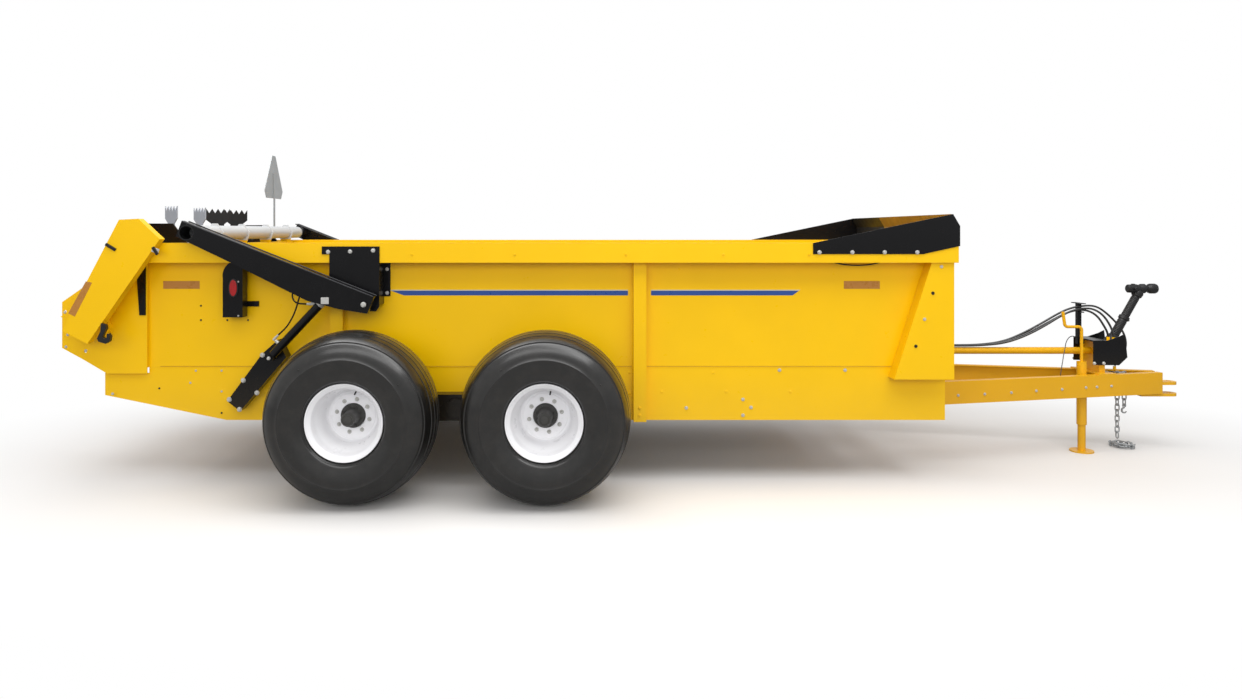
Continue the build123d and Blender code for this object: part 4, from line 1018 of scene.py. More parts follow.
@dataclass
class RoadWheel:
    """One wheel: ribbed flotation tyre, dished white rim, black hub with its cap, nuts and valve.

    Profiles are pairs of offset from the wheel's middle plane, outwards, and radius.
    """

    axle: str
    side: Side
    axle_x: float
    nut_turn: float
    middle_y: float = 1.280
    radius: float = 0.520
    crown_arc: float = 0.538
    crown_ends: tuple[float, float] = (0.155, 0.1713)
    grooves: tuple[Pair, ...] = ((0.031, 0.009), (0.085, 0.009), (0.137, 0.008))
    groove_floor: float = 0.0045
    groove_lip: float = 0.0065
    wall_centre: Pair = (0.123, 0.350)
    wall_arc: float = 0.150
    # Angles down the wall's arc, from the shoulder to the bead. The groove and the raised ring take up
    # two of them each.
    wall_top_deg: tuple[float, ...] = (64, 57, 55, 51, 49, 40, 30, 20, 11.5, 10.5, 9, 8)
    wall_foot_deg: tuple[float, ...] = (2, -5, -12, -18, -26, -35.9)
    wall_groove: Pair = (55, 51)
    wall_ring: Pair = (10.5, 9)
    wall_groove_depth: float = 0.006
    wall_ring_height: float = 0.0022
    bead: tuple[Pair, ...] = (
        (0.240, 0.252),
        (0.233, 0.246),
        (0.226, 0.246),
        (0.214, 0.236),
        (0.200, 0.230),
    )
    bead_toe: Pair = (0.196, 0.2055)
    pip_turns_deg: tuple[float, ...] = (-52.0, 35.0, 128.0)
    pip_place: Pair = (0.2625, 0.402)
    pip: tuple[Pair, ...] = ((0.0, 0.006), (0.003, 0.005), (0.0035, 0.0))
    flange: tuple[Pair, ...] = (
        (0.204, 0.2300),
        (0.211, 0.2318),
        (0.217, 0.2312),
        (0.220, 0.2280),
        (0.2185, 0.2235),
        (0.206, 0.2160),
        (0.198, 0.2040),
        (0.188, 0.1985),
        (0.150, 0.1950),
        (0.128, 0.1860),
        (0.100, 0.1720),
        (0.060, 0.1640),
        (0.022, 0.1610),
        (0.006, 0.1570),
    )
    disc_offset: float = -0.006
    disc_step: float = 0.004
    recess_depth: float = 0.006
    recess_back: float = 0.014
    well: tuple[Pair, ...] = (
        (-0.030, 0.158),
        (-0.120, 0.160),
        (-0.156, 0.190),
        (-0.198, 0.197),
        (-0.212, 0.220),
        (-0.220, 0.2280),
        (-0.217, 0.2315),
        (-0.204, 0.2300),
        (-0.198, 0.2052),
        (-0.156, 0.2040),
        (-0.124, 0.1680),
        (0.104, 0.1760),
        (0.150, 0.2040),
        (0.198, 0.2052),
        (0.204, 0.2300),
    )
    nut_circle: float = 0.1015
    nut_count: int = 8
    nut_flats: float = 0.018
    stud_length: float = 0.010
    # Dark disc behind each nut: a painted shadow round it.
    nut_seat: tuple[Pair, ...] = ((0.0, 0.0128), (0.0012, 0.0128), (0.0014, 0.0))
    hub_radius: float = 0.074
    hub_face: float = 0.0195
    cap_radius: float = 0.040
    cap_bolt_circle: float = 0.0635
    cap_bolt_flats: float = 0.013
    drum: tuple[Pair, ...] = (
        (-0.232, 0.0385),
        (-0.232, 0.074),
        (-0.020, 0.078),
        (-0.020, 0.0385),
        (-0.232, 0.0385),
    )
    valve_deg: float = 78.0
    valve_foot: Pair = (0.050, 0.166)
    valve_tip: Pair = (0.084, 0.146)
    valve_radius: float = 0.005

    @property
    def body(self) -> str:
        """Body that the wheel turns with."""
        return f"wheel_{self.axle}_{self.side.word}"

    @property
    def centre(self) -> Point:
        """Middle of the wheel on its axle."""
        return self.side.place(self.axle_x, self.middle_y, self.radius)

    def spot(self, turn: float, offset: float, radius: float) -> Vector:
        """Place on the wheel.

        Args:
            turn: angle from straight ahead, in radians.
            offset: distance outwards from the middle plane.
            radius: distance from the axle.

        Returns:
            The place.
        """
        spoke = Vector((cos(turn), 0.0, sin(turn)))
        return Vector(self.centre) + spoke * radius + self.side.outward * offset

    def half_profile(self) -> list[Pair]:
        """Outer skin of one half of the tyre, from the middle of the crown to the bead.

        Returns:
            Profile points.
        """
        lip, floor = self.groove_lip, self.groove_floor
        tread = [(0.0, 0.0)]
        for groove, depth in self.grooves:
            walls = ((-lip, 0.0), (-floor, depth), (floor, depth), (lip, 0.0))
            tread += [(groove + step, drop) for step, drop in walls]
        tread += [(end, 0.0) for end in self.crown_ends]
        points = []
        for across, depth in tread:
            drop = self.crown_arc - (self.crown_arc**2 - across**2) ** 0.5
            points.append((across, self.radius - drop - depth))
        for turn_deg in self.wall_top_deg + self.wall_foot_deg:
            reach = self.wall_arc
            if turn_deg in self.wall_groove:
                reach -= self.wall_groove_depth
            elif turn_deg in self.wall_ring:
                reach += self.wall_ring_height
            offset, height = self.wall_centre
            turn = radians(turn_deg)
            points.append((offset + reach * cos(turn), height + reach * sin(turn)))
        return points + list(self.bead)

    def tyre(self) -> None:
        """Ribbed crown, glossy shoulders, a thin ring and pips on the wall."""
        half = self.half_profile()
        toe_offset, toe_radius = self.bead_toe
        profile = [(-offset, radius) for offset, radius in reversed(half[1:])] + half
        profile += [(toe_offset, toe_radius), (-toe_offset, toe_radius), profile[0]]
        shape = Shape().lathe(profile, self.centre, self.side.outward, steps=128)
        for turn_deg in self.pip_turns_deg:
            foot = self.spot(radians(turn_deg), *self.pip_place)
            shape.lathe(self.pip, foot, self.side.outward, steps=12)
        node = self.body.replace("wheel", "tyre")
        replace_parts(shape.piece(f"ribbed_{node}", RUBBER, self.body, sharp_deg=38.0), node)

    def rim(self) -> None:
        """Pressed rim with rolled flanges, sloped well and a flat disc."""
        face = self.disc_offset
        disc = [
            (face + 0.003, 0.1500),
            (face + 0.001, 0.1380),
            (face + self.disc_step, 0.1330),
            (face + self.disc_step, self.hub_radius + 0.003),
            (face - self.recess_depth, self.hub_radius + 0.001),
            (face - self.recess_depth, 0.0),
            (face - self.recess_back, 0.0),
            (face - self.recess_back, 0.150),
        ]
        profile = [*self.flange, *disc, *self.well]
        shape = Shape().lathe(profile, self.centre, self.side.outward, steps=96)
        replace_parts(shape.piece(f"dished_rim_{self.body}", WHITE, self.body, sharp_deg=30.0), self.body)

    def hub(self) -> None:
        """Hub casting with its ring of bolts, dust cap and the inner drum."""
        foot = self.disc_offset
        hub, cap = self.hub_radius, self.cap_radius
        casting = [
            (foot - 0.005, 0.0),
            (foot - 0.005, hub),
            (foot + 0.012, hub),
            (foot + 0.018, hub - 0.004),
            (foot + 0.020, hub - 0.010),
            (foot + 0.020, 0.053),
            (foot + 0.030, 0.047),
            (foot + 0.060, 0.045),
            (foot + 0.100, cap),
            (foot + 0.104, cap + 0.003),
            (foot + 0.126, cap + 0.003),
            (foot + 0.134, cap - 0.002),
            (foot + 0.135, cap - 0.010),
            (foot + 0.132, cap - 0.012),
            (foot + 0.136, cap - 0.020),
            (foot + 0.138, 0.0),
        ]
        shape = Shape().lathe(casting, self.centre, self.side.outward, steps=64)
        for index in range(self.nut_count):
            turn = tau * (index + 0.5) / self.nut_count
            seat = self.spot(turn, foot + self.hub_face, self.cap_bolt_circle)
            shape.bolt(seat, self.side.outward, self.cap_bolt_flats)
        shape.piece(f"hub_casting_{self.body}", HUB, self.body)
        drum = Shape().lathe(self.drum, self.centre, self.side.outward, steps=48)
        drum.piece(f"inner_hub_{self.body}", HUB, self.body)

    def nuts(self) -> None:
        """Wheel nuts with their studs on dark discs that paint their shadow, and the valve."""
        nuts = Shape()
        shadow_discs = Shape()
        for index in range(self.nut_count):
            turn = tau * (index + self.nut_turn) / self.nut_count
            seat = self.spot(turn, self.disc_offset + self.disc_step, self.nut_circle)
            shadow_discs.lathe(self.nut_seat, seat, self.side.outward, steps=20)
            nuts.bolt(seat + self.side.outward * MM, self.side.outward, self.nut_flats, self.stud_length)
        shadow_discs.piece(f"nut_seats_{self.body}", HUB, self.body)
        nuts.piece(f"nuts_{self.body}", ZINC, self.body)
        turn = radians(self.valve_deg)
        foot, tip = self.spot(turn, *self.valve_foot), self.spot(turn, *self.valve_tip)
        Shape().bar(foot, tip, self.valve_radius, steps=12).piece(f"valve_{self.body}", PLASTIC, self.body)

    def build(self) -> None:
        """Make the tyre, rim, hub and nuts."""
        self.tyre()
        self.rim()
        self.hub()
        self.nuts()


# Each axle's name, its X, and how far its nuts have turned, as a share of their spacing.
AXLES = (("front", -0.7515, 0.28), ("rear", -1.9245, 0.71))


# ---- paint on the carried-over nodes ---------------------------------------------------------


@dataclass
class FramePaint:
    """Finishes of the nodes whose shape is used as it is."""

    nodes: dict[str, bpy.types.Object]
    coats: tuple[tuple[Finish, str], ...] = (
        (BLACK, "extension_sides beater_brackets gate_arms gate_hangers cylinder_mounts tail_lights"),
        (BLACK, "pto_shaft pto_shield cylinder_barrel_right cylinder_barrel_left front_yoke"),
        (BLACK, "walking_beams hose_post"),
        (DRAWBAR_YELLOW, "drawbar_beam_right drawbar_beam_left hitch_tongues driveline_tube pto_support"),
        (DRAWBAR_YELLOW, "jack_housing jack_leg jack_crank"),
        (RUBBER, "tyre_front_right tyre_front_left tyre_rear_right tyre_rear_left"),
        (WHITE, "wheel_front_right wheel_front_left wheel_rear_right wheel_rear_left"),
        (SCRUBBED, "apron apron_shafts line_shaft"),
        (CHROME, "cylinder_rod_right cylinder_rod_left"),
        (BEATER_GREY, "upper_beater"),
        (TUBE_GREY, "gate_tube"),
        (PANEL_YELLOW, "gate_panel"),
        (ALUMINIUM, "gate_sign"),
        (PLANKS, "box_floor"),
        (SHADED_PANEL_INSIDE, "extension_panel"),
        (GALVANISED, "safety_chain"),
        (HOSE, "hose_right hose_middle hose_loop lamp_cable"),
    )

    def build(self) -> None:
        """Give each node its finish, and farm yellow to all that the table leaves out."""
        table = {name: finish for finish, names in self.coats for name in names.split()}
        for name, node in self.nodes.items():
            finish = table.get(name, YELLOW)
            node.data.materials.clear()
            node.data.materials.append(finish.build())
            LOG.info("%s coated with %s", name, finish.name)


# ---- box -------------------------------------------------------------------------------------


@dataclass
class BoxTrim:
    """Stripes, tape, bolts, weld beads and seams on the long sides of the box."""

    wall_y: float = 0.870
    rail_y: float = 1.000
    post_y: float = 0.930
    stripe_low: float = 1.2215
    stripe_high: float = 1.2525
    stripe_cut: float = 0.085
    film: float = 0.0006
    pale_width: float = 0.006
    pale_rake: float = 0.01
    stripe_spans: tuple[Pair, Pair] = ((-1.7835, -0.2250), (-0.0735, 0.9000))
    tape_spans: tuple[Pair, Pair] = ((-3.2818, -3.0417), (1.1946, 1.4314))
    tape_heights: Pair = (1.2648, 1.3160)
    tape_thickness: float = 0.0012
    sill_bolts: tuple[Pair, ...] = (
        (0.1587, 0.4815),
        (0.5310, 0.5374),
        (0.5843, 0.4848),
        (0.5310, 0.4335),
        (0.7711, 0.7301),
        (1.2032, 0.7301),
    )
    sill_flats: float = 0.016
    dimples: tuple[Pair, ...] = (
        (0.3356, 0.7143),
        (-0.0024, 0.5887),
        (0.4211, 0.5887),
        (0.8434, 0.5887),
        (-0.2140, 0.7157),
        (-0.2140, 0.5742),
    )
    dimple: tuple[Pair, ...] = ((0.0, 0.011), (0.002, 0.010), (0.0035, 0.006), (0.004, 0.0))
    post_bolts: tuple[Pair, ...] = ((-0.152, 0.4939), (-0.152, 0.4464))
    post_flats: float = 0.014
    rail_bolts: tuple[Pair, ...] = (
        (-1.62, 1.495),
        (-0.96, 1.495),
        (-0.246, 1.495),
        (0.382, 1.495),
        (0.933, 1.495),
    )
    rail_flats: float = 0.012
    bead_posts: Pair = (-2.127, -0.150)
    bead_step: float = 0.0415
    bead_lift: float = 0.001
    bead_heights: Pair = (0.42, 1.44)
    bead_radius: float = 0.004
    seam_z: float = 0.750
    seam_spans: tuple[Pair, ...] = ((-3.30, -2.17), (-2.08, -0.20), (-0.10, 1.58))
    # Bottom and top from the seam's height, and thickness.
    lap: tuple[float, float, float] = (-0.0012, 0.0040, 0.0030)
    sealer: tuple[float, float, float] = (0.0042, 0.0072, 0.0012)
    lip_span: Pair = (-3.312, 1.894)
    lip_heights: tuple[Pair, Pair] = ((1.4405, 1.4460), (1.5660, 1.5685))
    lip_depth: float = 0.030

    def stripes(self, side: Side) -> None:
        """Two runs of blue film with raked outer ends and a pale edge above.

        Args:
            side: side of the machine.
        """
        low, high, cut = self.stripe_low, self.stripe_high, self.stripe_cut
        top, rake = high + self.pale_width, self.pale_rake
        (tail, rear_end), (front_end, nose) = self.stripe_spans
        blue = [
            [(tail, high), (tail + cut, low), (rear_end, low), (rear_end, high)],
            [(front_end, low), (nose - cut / 2, low), (nose, high), (front_end, high)],
        ]
        pale = [
            [(tail - rake, high), (rear_end, high), (rear_end, top), (tail - 2 * rake, top)],
            [(front_end, high), (nose, high), (nose + rake, top), (front_end, top)],
        ]
        depths = sorted((side.value * self.wall_y, side.value * (self.wall_y + self.film)))
        for name, finish, outlines in (("stripes", BLUE_FILM, blue), ("stripe_edges", PALE_FILM, pale)):
            shape = Shape()
            for outline in outlines:
                shape.prism(outline, Axis.Y, *depths)
            shape.piece(f"{name}_{side.word}", finish)

    def strips(self, shape: Shape, side: Side, spans: Sequence[Pair], section: tuple[float, ...]) -> Shape:
        """Flat strips laid along the box wall.

        Args:
            shape: mesh that the strips join.
            side: side of the machine.
            spans: rear and front end of each strip.
            section: bottom, top and thickness.

        Returns:
            The same shape.
        """
        bottom, top, thickness = section
        for rear, front in spans:
            low = side.place(rear, self.wall_y, bottom)
            shape.block(low, side.place(front, self.wall_y + thickness, top))
        return shape

    def tape(self, side: Side) -> None:
        """Amber tape near both ends of the side.

        Args:
            side: side of the machine.
        """
        section = (*self.tape_heights, self.tape_thickness)
        shape = self.strips(Shape(), side, self.tape_spans, section)
        shape.piece(f"side_tape_{side.word}", AMBER_TAPE, bevel_mm=0.4)

    def bolts(self, side: Side) -> None:
        """Zinc bolt heads on the sill, and painted heads and dimples on post, rail and wall.

        Args:
            side: side of the machine.
        """
        heads = Shape().bolts(self.sill_bolts, self.wall_y, side, self.sill_flats)
        heads.piece(f"sill_bolts_{side.word}", ZINC)
        painted = Shape().bolts(self.post_bolts, self.post_y, side, self.post_flats)
        painted.bolts(self.rail_bolts, self.rail_y, side, self.rail_flats)
        for x, z in self.dimples:
            painted.lathe(self.dimple, side.place(x, self.wall_y, z), side.outward, steps=16)
        painted.piece(f"painted_heads_{side.word}", YELLOW)

    def seams(self, side: Side) -> None:
        """Weld beads along the posts, the lap between side sheet and sill, and the painted shadow line
        along it.

        Args:
            side: side of the machine.
        """
        beads = Shape()
        bead_y = self.wall_y + self.bead_lift
        for post_x in self.bead_posts:
            for edge_x in (post_x - self.bead_step, post_x + self.bead_step):
                start, end = (side.place(edge_x, bead_y, z) for z in self.bead_heights)
                beads.bar(start, end, self.bead_radius, steps=8)
        for shape, strip, name, finish, bevel_mm in (
            (beads, self.lap, "seams", YELLOW, 0.8),
            (Shape(), self.sealer, "joint_sealer", LAP_SHADOW_BROWN, 0.0),
        ):
            section = (self.seam_z + strip[0], self.seam_z + strip[1], strip[2])
            self.strips(shape, side, self.seam_spans, section)
            shape.piece(f"{name}_{side.word}", finish, bevel_mm=bevel_mm)

    def rail_lips(self, side: Side) -> None:
        """Folded lips along the rail's lower and upper edges.

        Args:
            side: side of the machine.
        """
        shape = Shape()
        rear, front = self.lip_span
        for low_z, high_z in self.lip_heights:
            low = side.place(rear, self.rail_y - self.lip_depth, low_z)
            shape.block(low, side.place(front, self.rail_y, high_z))
        shape.piece(f"rail_lips_{side.word}", YELLOW, bevel_mm=1.2)

    def build(self) -> None:
        """Dress both sides."""
        for side in Side:
            self.stripes(side)
            self.tape(side)
            self.bolts(side)
            self.seams(side)
            self.rail_lips(side)


@dataclass
class FrontTrim:
    """Bolts of the front extension and the gussets, and a cable under the rail."""

    extension_bolts: tuple[Pair, ...] = (
        (0.9966, 1.5083),
        (1.2077, 1.5083),
        (1.4151, 1.5083),
        (1.6243, 1.5083),
    )
    extension_y: float = 1.006
    extension_flats: float = 0.019
    gusset_holes: tuple[Pair, ...] = (
        (1.62523, 0.902),
        (1.68126, 1.076),
        (1.73535, 1.244),
        (1.79042, 1.415),
    )
    gusset_y: float = 0.980
    gusset_flats: float = 0.015
    cable_loop: tuple[Pair, ...] = (
        (1.09, 1.452),
        (1.15, 1.432),
        (1.22, 1.421),
        (1.32, 1.420),
        (1.40, 1.430),
        (1.46, 1.452),
    )
    cable_y: float = 0.884
    cable_radius: float = 0.0045

    def build(self) -> None:
        """Bolt heads, dark plugs and a sagging cable under the rail, on both sides."""
        for side in Side:
            for name, finish, places, y, flats in (
                ("extension_bolts", ZINC, self.extension_bolts, self.extension_y, self.extension_flats),
                ("gusset_bolts", ZINC, self.gusset_holes[1::2], self.gusset_y, self.gusset_flats),
                ("gusset_plugs", PLASTIC, self.gusset_holes[::2], self.gusset_y, self.gusset_flats),
            ):
                Shape().bolts(places, y, side, flats).piece(f"{name}_{side.word}", finish)
            loop = [side.place(x, self.cable_y, z) for x, z in self.cable_loop]
            line(f"rail_cable_{side.word}", loop, self.cable_radius, PLASTIC)


# ---- rear end --------------------------------------------------------------------------------


@dataclass
class GateTrim:
    """Fasteners, glands, pressure lines and lenses around the lifting gate."""

    pivot: Point = (-1.8995, 1.1334, 1.183)
    pivot_flats: float = 0.024
    base_nut: Point = (-2.516, 1.0715, 0.837)
    base_nut_flats: float = 0.016
    cylinder_base: Point = (-2.516, 1.048, 0.837)
    lean_deg: float = 46.8
    barrel_length: float = 0.490
    barrel_radius: float = 0.0275
    gland: tuple[Pair, ...] = (
        (-0.030, 0.0004),
        (-0.030, 0.0018),
        (-0.008, 0.0018),
        (-0.006, 0.0),
        (-0.004, 0.0018),
        (0.0004, 0.0018),
        (0.0016, -0.004),
        (0.0016, -0.011),
    )
    port_places: Pair = (0.105, 0.445)
    port_sink: float = 0.002
    port_height: float = 0.016
    port_radius: float = 0.011
    port_flats: float = 0.017
    hanger_y: float = 1.010
    hanger_flats: float = 0.019
    hanger_bolts: tuple[Pair, ...] = ((-2.1568, 1.5103), (-2.0157, 1.5135), (-1.8682, 1.5199))
    web_y: float = 0.876
    web_flats: float = 0.017
    web_bolts: tuple[Pair, ...] = ((-1.808, 1.395), (-1.808, 1.238))
    mount_y: float = 0.965
    mount_flats: float = 0.022
    mount_bolts: tuple[Pair, ...] = (
        (-2.8088, 0.5555),
        (-2.7183, 0.6790),
        (-2.5942, 0.8426),
        (-2.6297, 0.5988),
        (-2.7429, 0.4914),
    )
    line_radius: float = 0.0052
    base_line: tuple[Point, ...] = (
        (-2.494, 1.048, 0.950),
        (-2.462, 1.046, 0.985),
        (-2.411, 1.035, 1.032),
        (-2.372, 1.010, 1.115),
        (-2.350, 0.996, 1.200),
        (-2.330, 0.990, 1.290),
        (-2.325, 0.930, 1.310),
        (-2.325, 0.872, 1.310),
    )
    head_line: tuple[Point, ...] = (
        (-2.392, 0.872, 1.350),
        (-2.392, 0.930, 1.350),
        (-2.392, 0.982, 1.335),
        (-2.392, 0.990, 1.260),
        (-2.388, 1.005, 1.215),
        (-2.360, 1.030, 1.188),
        (-2.325, 1.046, 1.181),
        (-2.262, 1.048, 1.180),
        (-2.236, 1.048, 1.180),
    )
    nut_length: float = 0.030
    nut_radius: float = 0.0085
    collar_length: float = 0.016
    collar_radius: float = 0.0068
    arm_top: tuple[Pair, Pair] = ((-3.040, 1.7095), (-1.838, 1.2345))
    arm_lip_y: Pair = (1.030, 1.123)
    arm_lip_sink: float = 0.0035
    arm_lip_radius: float = 0.0045
    eye_plate: tuple[Point, Point] = ((-2.168, 1.125, 1.186), (-2.118, 1.1285, 1.228))
    lamp_y: float = 0.980
    lens_middle: Pair = (-2.775, 1.278)
    lens_half: Pair = (0.024, 0.052)
    lens_reach: float = 0.010
    hood_grow: float = 0.009
    hood_reach: float = 0.006
    oval_steps: int = 40
    lamp_flats: float = 0.008
    lamp_screws: tuple[Pair, ...] = ((-2.744, 1.318), (-2.744, 1.098))

    def bolts(self, side: Side) -> None:
        """Zinc bolts on hanger, web and cylinder mount, and nuts on both pins.

        Args:
            side: side of the machine.
        """
        heads = Shape().bolts(self.hanger_bolts, self.hanger_y, side, self.hanger_flats)
        heads.bolts(self.web_bolts, self.web_y, side, self.web_flats)
        heads.bolts(self.mount_bolts, self.mount_y, side, self.mount_flats)
        heads.piece(f"gate_bolts_{side.word}", ZINC)
        pins = Shape().bolt(side.place(*self.pivot), side.outward, self.pivot_flats)
        pins.bolt(side.place(*self.base_nut), side.outward, self.base_nut_flats)
        pins.piece(f"pin_nuts_{side.word}", ZINC)

    def cylinder(self, side: Side) -> None:
        """Gland nut and the two ports of one cylinder.

        Args:
            side: side of the machine.
        """
        lean = radians(self.lean_deg)
        along = Vector((cos(lean), 0.0, sin(lean)))
        across = Vector((-sin(lean), 0.0, cos(lean)))
        base = Vector(side.place(*self.cylinder_base))
        body = f"cylinder_barrel_{side.word}"
        profile = [(distance, self.barrel_radius + step) for distance, step in self.gland]
        gland = Shape().lathe(profile, base + along * self.barrel_length, along, steps=48)
        gland.piece(f"gland_nut_{side.word}", ZINC, body)
        ports = Shape()
        for distance in self.port_places:
            foot = base + along * distance + across * (self.barrel_radius - self.port_sink)
            top = foot + across * self.port_height
            ports.bar(foot, top, self.port_radius, steps=20)
            ports.bolt(top, across, self.port_flats)
        ports.piece(f"cylinder_ports_{side.word}", ZINC, body, bevel_mm=0.5)

    def lines(self, side: Side) -> None:
        """Two bent pressure lines with bright end fittings, from the ports to behind the arm.

        Args:
            side: side of the machine.
        """
        barrel = f"cylinder_barrel_{side.word}"
        for name, body, run in (("base_line", ROOT, self.base_line), ("head_line", barrel, self.head_line)):
            points = [side.place(*point) for point in run]
            line(f"{name}_{side.word}", points, self.line_radius, BLACK, body)
        ends = Shape()
        for start, end in (self.base_line[:2], self.head_line[-1:-3:-1]):
            foot = Vector(side.place(*start))
            along = (Vector(side.place(*end)) - foot).normalized()
            shoulder = foot + along * self.nut_length
            ends.bar(foot, shoulder, self.nut_radius, steps=16)
            tip = foot + along * (self.nut_length + self.collar_length)
            ends.bar(shoulder, tip, self.collar_radius, steps=16)
        ends.piece(f"line_fittings_{side.word}", ZINC, barrel, bevel_mm=0.5)

    def lips(self, side: Side) -> None:
        """Folded lips along each arm's upper edges, and a plate over the rod's eye.

        Args:
            side: side of the machine.
        """
        (rear_x, rear_z), (front_x, front_z) = self.arm_top
        run = Vector((front_x - rear_x, 0.0, front_z - rear_z))
        up = Vector((-run.z, 0.0, run.x)).normalized() * self.arm_lip_sink
        lips = Shape()
        for y in self.arm_lip_y:
            foot = Vector(side.place(rear_x, y, rear_z)) - up
            lips.bar(foot, foot + run, self.arm_lip_radius, steps=10)
        # The lips are greyer than the black arms: a painted highlight along the edges.
        lips.piece(f"arm_lip_{side.word}", LIP_HIGHLIGHT_BLACK, "endgate")
        low, high = (side.place(*corner) for corner in self.eye_plate)
        Shape().block(low, high).piece(f"eye_plate_{side.word}", ZINC, "endgate", bevel_mm=1.5)

    def lens(self, side: Side) -> None:
        """Oval red lens in a raised black hood, and the small screws of the lamp.

        Args:
            side: side of the machine.
        """
        middle_x, middle_z = self.lens_middle
        turns = [tau * step / self.oval_steps for step in range(self.oval_steps)]
        for name, grow, reach, finish in (
            ("lens_hood", self.hood_grow, self.hood_reach, PLASTIC),
            ("tail_lens", 0.0, self.lens_reach, RED_LENS),
        ):
            half_x, half_z = (half + grow for half in self.lens_half)
            outline = [(middle_x + half_x * cos(turn), middle_z + half_z * sin(turn)) for turn in turns]
            low, high = sorted((side.value * self.lamp_y, side.value * (self.lamp_y + reach)))
            oval = Shape().prism(outline, Axis.Y, low, high)
            oval.piece(f"{name}_{side.word}", finish, bevel_mm=2.5)
        screws = Shape().bolts(self.lamp_screws, self.lamp_y, side, self.lamp_flats)
        screws.piece(f"lamp_screws_{side.word}", ZINC)

    def build(self) -> None:
        """Dress both sides of the gate's gear."""
        for side in Side:
            self.bolts(side)
            self.cylinder(side)
            self.lines(side)
            self.lips(side)
            self.lens(side)


@dataclass
class GuardTrim:
    """Rubber latches and a slanted amber tape on the chain guard, with the heads on the plates behind."""

    face_y: float = 1.070
    latches: tuple[tuple[Pair, Pair], ...] = (
        ((-3.5475, 1.5625), (-3.4840, 1.5245)),
        ((-3.2493, 1.5435), (-3.2180, 1.4950)),
    )
    latch_width: float = 0.020
    latch_height: float = 0.012
    seat_ends: tuple[Pair, Pair] = ((-3.2560, 1.5290), (-3.2120, 1.5150))
    seat_width: float = 0.030
    seat_height: float = 0.004
    hook_height: float = 0.010
    hook_root: float = 0.020
    hook: tuple[Pair, ...] = (
        (-3.5765, 1.0610),
        (-3.5470, 1.0510),
        (-3.5430, 1.0280),
        (-3.5590, 0.9930),
        (-3.5670, 0.9720),
        (-3.5530, 0.9610),
        (-3.5390, 0.9720),
        (-3.5390, 0.9940),
        (-3.5270, 0.9960),
        (-3.5160, 0.9780),
        (-3.5220, 0.9460),
        (-3.5470, 0.9300),
        (-3.5930, 0.9440),
        (-3.6010, 0.9650),
        (-3.5790, 1.0110),
    )
    tape_height: float = 0.0012
    tape: tuple[Pair, ...] = ((-3.6756, 1.3253), (-3.6363, 1.3170), (-3.7454, 1.1020), (-3.7873, 1.1230))
    plate_y: float = 0.900
    plate_flats: float = 0.013
    plate_bolts: tuple[Pair, ...] = (
        (-3.9103, 1.1138),
        (-3.8914, 0.9659),
        (-3.9031, 0.8868),
        (-3.7737, 0.8619),
        (-3.5984, 0.5800),
    )
    sheet_y: float = 0.870
    rivet_flats: float = 0.010
    rivets: tuple[Pair, ...] = (
        (-3.1035, 0.6467),
        (-2.8977, 0.5901),
        (-3.0673, 0.7262),
        (-2.8977, 0.7262),
    )
    plug_flats: float = 0.009
    plugs: tuple[Pair, ...] = (
        (-3.0338, 1.1530),
        (-3.0338, 1.0590),
        (-2.8602, 1.0590),
        (-2.7240, 1.0590),
        (-3.3074, 0.6104),
        (-2.8977, 0.4486),
    )

    def plate(self, outline: Sequence[Pair], height: float, root: float = 0.0) -> Shape:
        """Flat part on the guard's outer face.

        Args:
            outline: its X and Z corners.
            height: how far it stands proud of the face.
            root: how far it reaches in behind the face.

        Returns:
            The part's shape.
        """
        return Shape().prism(outline, Axis.Y, -self.face_y - height, -self.face_y + root)

    def strip(self, ends: tuple[Pair, Pair], width: float, height: float) -> Shape:
        """Flat strip along a line on the guard's face.

        Args:
            ends: middle points of its two ends.
            width: its width.
            height: how far it stands proud of the face.

        Returns:
            The strip's shape.
        """
        start, end = Vector(ends[0]), Vector(ends[1])
        side = (end - start).orthogonal().normalized() * width / 2
        outline = [tuple(start + side), tuple(end + side), tuple(end - side), tuple(start - side)]
        return self.plate(outline, height)

    def build(self) -> None:
        """Fit the latches, the tape and the heads."""
        for index, ends in enumerate(self.latches):
            latch = self.strip(ends, self.latch_width, self.latch_height)
            latch.piece(f"guard_latch_{index}", PLASTIC, bevel_mm=4.0)
        hook = self.plate(self.hook, self.hook_height, self.hook_root)
        hook.piece("guard_hook_latch", PLASTIC, bevel_mm=2.0)
        seat = self.strip(self.seat_ends, self.seat_width, self.seat_height)
        seat.piece("guard_latch_seat", ZINC, bevel_mm=0.8)
        self.plate(self.tape, self.tape_height).piece("guard_tape", AMBER_TAPE)
        for name, finish, places, y, flats in (
            ("plate_bolts", ZINC, self.plate_bolts, self.plate_y, self.plate_flats),
            ("sheet_rivets", ZINC, self.rivets, self.sheet_y, self.rivet_flats),
            ("sheet_plugs", PLASTIC, self.plugs, self.sheet_y, self.plug_flats),
        ):
            Shape().bolts(places, y, Side.RIGHT, flats).piece(name, finish)


# ---- hitch end -------------------------------------------------------------------------------


